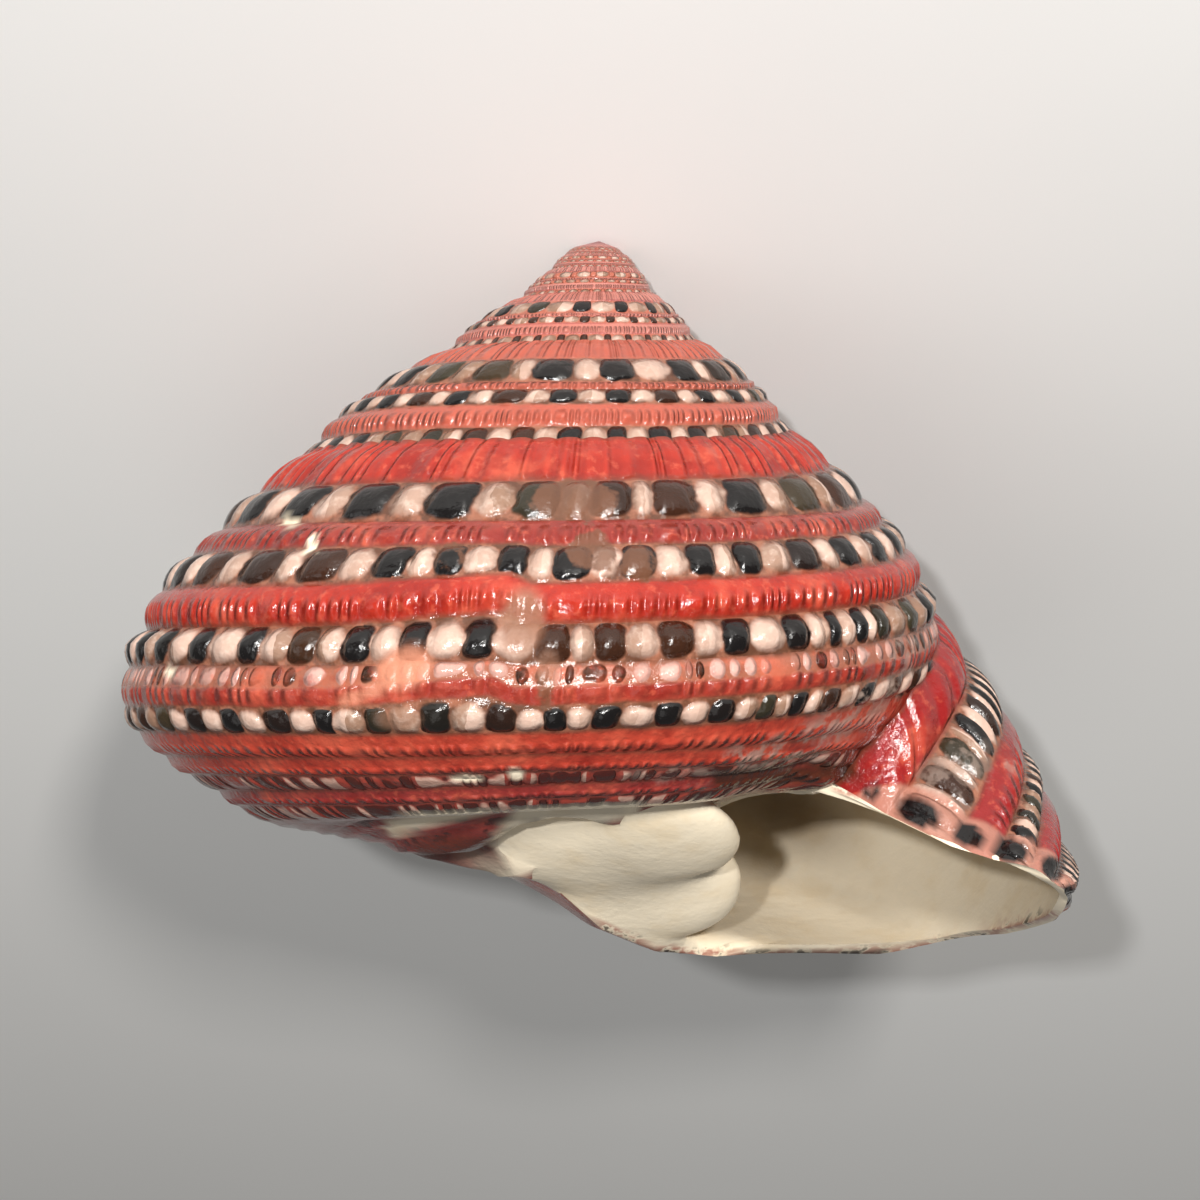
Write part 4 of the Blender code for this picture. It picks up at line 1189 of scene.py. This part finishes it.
# %% Colour of the red cords, with painted shade between their beads
wave = (true_place * (2 * math.pi)).cosine() * 0.5 + 0.5
seam = height_in_row.soft(0.36, 0.5)
old_lines = (1 - turn.soft(-2.9, -2.2)) * height_in_row.soft(0.30, 0.5) * mottle.soft(0.35, 0.55)
base_rings = (1 - ((row - BASE_ROWS[0]) * (BASE_CORDS * 2 * math.pi)).cosine()) * 0.5
on_base = row.soft(13.8, 14.2) * (1 - row.soft(16.0, 16.6))
red = layered(
    by_row(RED_ROWS),
    # painted shade between the beads of the red cords, strongest on the lower part of each cord
    ((1 - wave) * (0.10 + 0.40 * part.soft(0.45, 0.7)), CORAL_DEEP),
    (turn.soft(-0.20, -0.09) * 0.9, CRIMSON),
    ((1 - mottle.soft(0.30, 0.48)) * 0.45, CORAL_DEEP),
    (pearly_row * 0.75, TAN_GROOVE),
    (pearly * lot.soft(0.25, 0.45) * (0.5 + 0.5 * lot_again), PEARLY_PINK),
    (pearly * (1 - lot.soft(0.15, 0.35)), UMBER),
    (mottle.soft(0.5, 0.75) * 0.5, CORAL_LIGHT),
    (grain.soft(0.52, 0.72) * 0.40, CORAL_LIGHT),
    ((1 - speck.soft(0.32, 0.48)) * 0.40, CORAL_DEEP),
    (seam * 0.55 * (1 - row.soft(13.6, 14.2)), BROWN_GROOVE),
    ((1 - turn.soft(-1.75, -1.15)) * 0.62, SALMON),
    (1 - turn.soft(-3.1, -2.3), SALMON_OLD),
    (old_lines * 0.75, SALMON_LINE),
    (on_base * base_rings * 0.6, BASE_RING),
    (on_base * speck.soft(0.52, 0.62) * 0.8, BASE_DARK),
)

# %% Wear, margin and lining on top
scarred = (scar_w + (speck - 0.5) * 1.7).soft(0.35, 0.70) * 0.85 * scar_w.soft(0.0, 0.3)
skin_colour = layered(
    blend(bead_row, red, beaded),
    (scarred, SCAR_BROWN),
    (patch_w * 0.85, PATCH_PINK),
    (chip_w * 0.9, CHIP_ORANGE),
    (film_w * speck.soft(0.44, 0.58), FILM_GREY),
    # near-black strip along the top edge of the mouth
    (dark_strip_w * 0.9, DARK_STRIP_COLOUR),
    (hollow_dark_w * 0.85, NAVEL_DARK),
    ((margin_w + (mottle - 0.5) * 0.6).soft(0.25, 0.65) * 0.85, LIP_PINK),
    (blotch_w, INK),
)
nacre = layered(
    NACRE,
    (mottle.soft(0.42, 0.72) * 0.5, NACRE_WARM),
    (grain.soft(0.5, 0.8) * 0.3, NACRE_LIGHT),
    # painted shade deep in the mouth
    (mouth_shade_w * 0.9, NACRE_SHADE),
    (rim_w * speck.soft(0.40, 0.55), LIP_PINK),
    (rim_w * (1 - speck.soft(0.36, 0.44)), UMBER),
)
whole_colour = blend(pearl_w, skin_colour, nacre)

# %% Gloss and fine relief
BUMP_STRENGTH, BUMP_HEIGHT = 0.8, 0.07 * MM
shine = 0.11 + 0.13 * mottle + 0.14 * (1 - turn.soft(-3.2, -2.0)) + 0.14 * pearl_w + 0.2 * chip_w
growth = noise(node(tree, "ShaderNodeCombineXYZ", {}, {0: turn * 110.0, 1: row * 0.6}), 1.0, 2.0)
plain_row = (1 - bead_row) * (1 - row.soft(13.6, 14.0))
first_row = 1 - row.soft(0.9, 1.0)
low_window = (1 - (abs(part - 0.66) / 0.36).soft(0.1, 1.0)).highest(first_row)
fine_beads = wave * low_window * plain_row * (1 - pearly_row) * (1 - first_row * 0.45)
dome = (1 - dark_form.soft(0.1, 1.2)).highest(1 - pale_form.soft(0.1, 1.2)) * bead_row
dome = dome.highest((1 - pearly_form.soft(0.1, 1.1)) * pearly_row)
worn = 1 - scar_w.highest(patch_w).highest(chip_w) * 0.8
fine_height = (fine_beads * 1.5 + dome) * worn + grain * 0.6 + growth * 0.12 + mottle * 0.5
fine_height = fine_height * (1 - pearl_w * 0.85) + speck * 0.35
bump = node(tree, "ShaderNodeBump", {},
            {"Strength": BUMP_STRENGTH, "Distance": BUMP_HEIGHT, "Height": fine_height})
for socket, wire in (("Base Color", whole_colour), ("Roughness", shine), ("Normal", bump)):
    tree.links.new(wire.socket, gloss.inputs[socket])
gloss.inputs["IOR"].default_value = 1.53
gloss.inputs["Specular IOR Level"].default_value = 0.38
gloss.inputs["Coat Weight"].default_value = 0.05
gloss.inputs["Coat Roughness"].default_value = 0.10
shell.data.materials.clear()
shell.data.materials.append(paint)
print("nodes in the shell's material:", len(tree.nodes))

# %% The piece stands for the CAD node
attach(shell, "root")
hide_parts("shell")

# %% [markdown]
# ## Floor and light
# A plain pale floor and soft light, as in a small studio. The picture looks down on the laid shell, so
# the light comes from above the floor and from beside the camera: a broad lamp overhead, a small one
# beside the camera that reaches into the mouth, a broad low one that reaches the spire, one at the side,
# and a very small one whose reflection makes the wet-looking points.

# %% Floor
FLOOR_SIZE, CLOUD_SCALE = 1.0, 60.0
FLOOR_COOL, FLOOR_WARM = (0.70, 0.70, 0.69), (0.74, 0.735, 0.72)
floor_bm = bmesh.new()
bmesh.ops.create_grid(floor_bm, x_segments=1, y_segments=1, size=FLOOR_SIZE / 2)
floor = new_object("floor", floor_bm)
matt, floor_tree, floor_shader = new_material("pale_floor")
floor_colour = blend(noise(object_place(floor_tree), CLOUD_SCALE), FLOOR_COOL, FLOOR_WARM)
floor_tree.links.new(floor_colour.socket, floor_shader.inputs["Base Color"])
floor_shader.inputs["Roughness"].default_value = 0.7
floor.data.materials.append(matt)

# %% Lamps and sky: place and size in millimetres, power in watts, tint
MIDDLE = Vector((0.0, 0.0, 6.0))
WHITE, WARM, WARMER = (1.0, 1.0, 1.0), (1.0, 0.98, 0.95), (1.0, 0.97, 0.93)
LAMPS = (
    ("overhead", (25.0, -35.0, 110.0), 70.0, 0.014, WARM),
    ("front", (-14.0, -98.0, 50.0), 9.0, 0.100, WARMER),
    ("front_low", (-25.0, -110.0, 14.0), 30.0, 0.030, WARMER),
    ("side", (110.0, -40.0, 45.0), 50.0, 0.012, WHITE),
    ("sparkle", (16.0, -92.0, 60.0), 3.0, 0.070, WHITE),
)
SKY_TINT, SKY_STRENGTH = (0.93, 0.92, 0.90, 1.0), 0.14
for name, spot, size, watts, tint in LAMPS:
    light = bpy.data.lights.new(name, "AREA")
    light.energy, light.size, light.color = watts, size * MM, tint
    lamp = placed_in_scene(name, light)
    lamp.location = Vector(spot) * MM
    lamp.rotation_euler = (Vector(spot) - MIDDLE).to_track_quat("Z", "Y").to_euler()
sky = bpy.data.worlds.new("studio")
sky.use_nodes = True
background = sky.node_tree.nodes["Background"]
background.inputs["Color"].default_value = SKY_TINT
background.inputs["Strength"].default_value = SKY_STRENGTH
bpy.context.scene.world = sky
bpy.context.scene.view_settings.view_transform = "Standard"
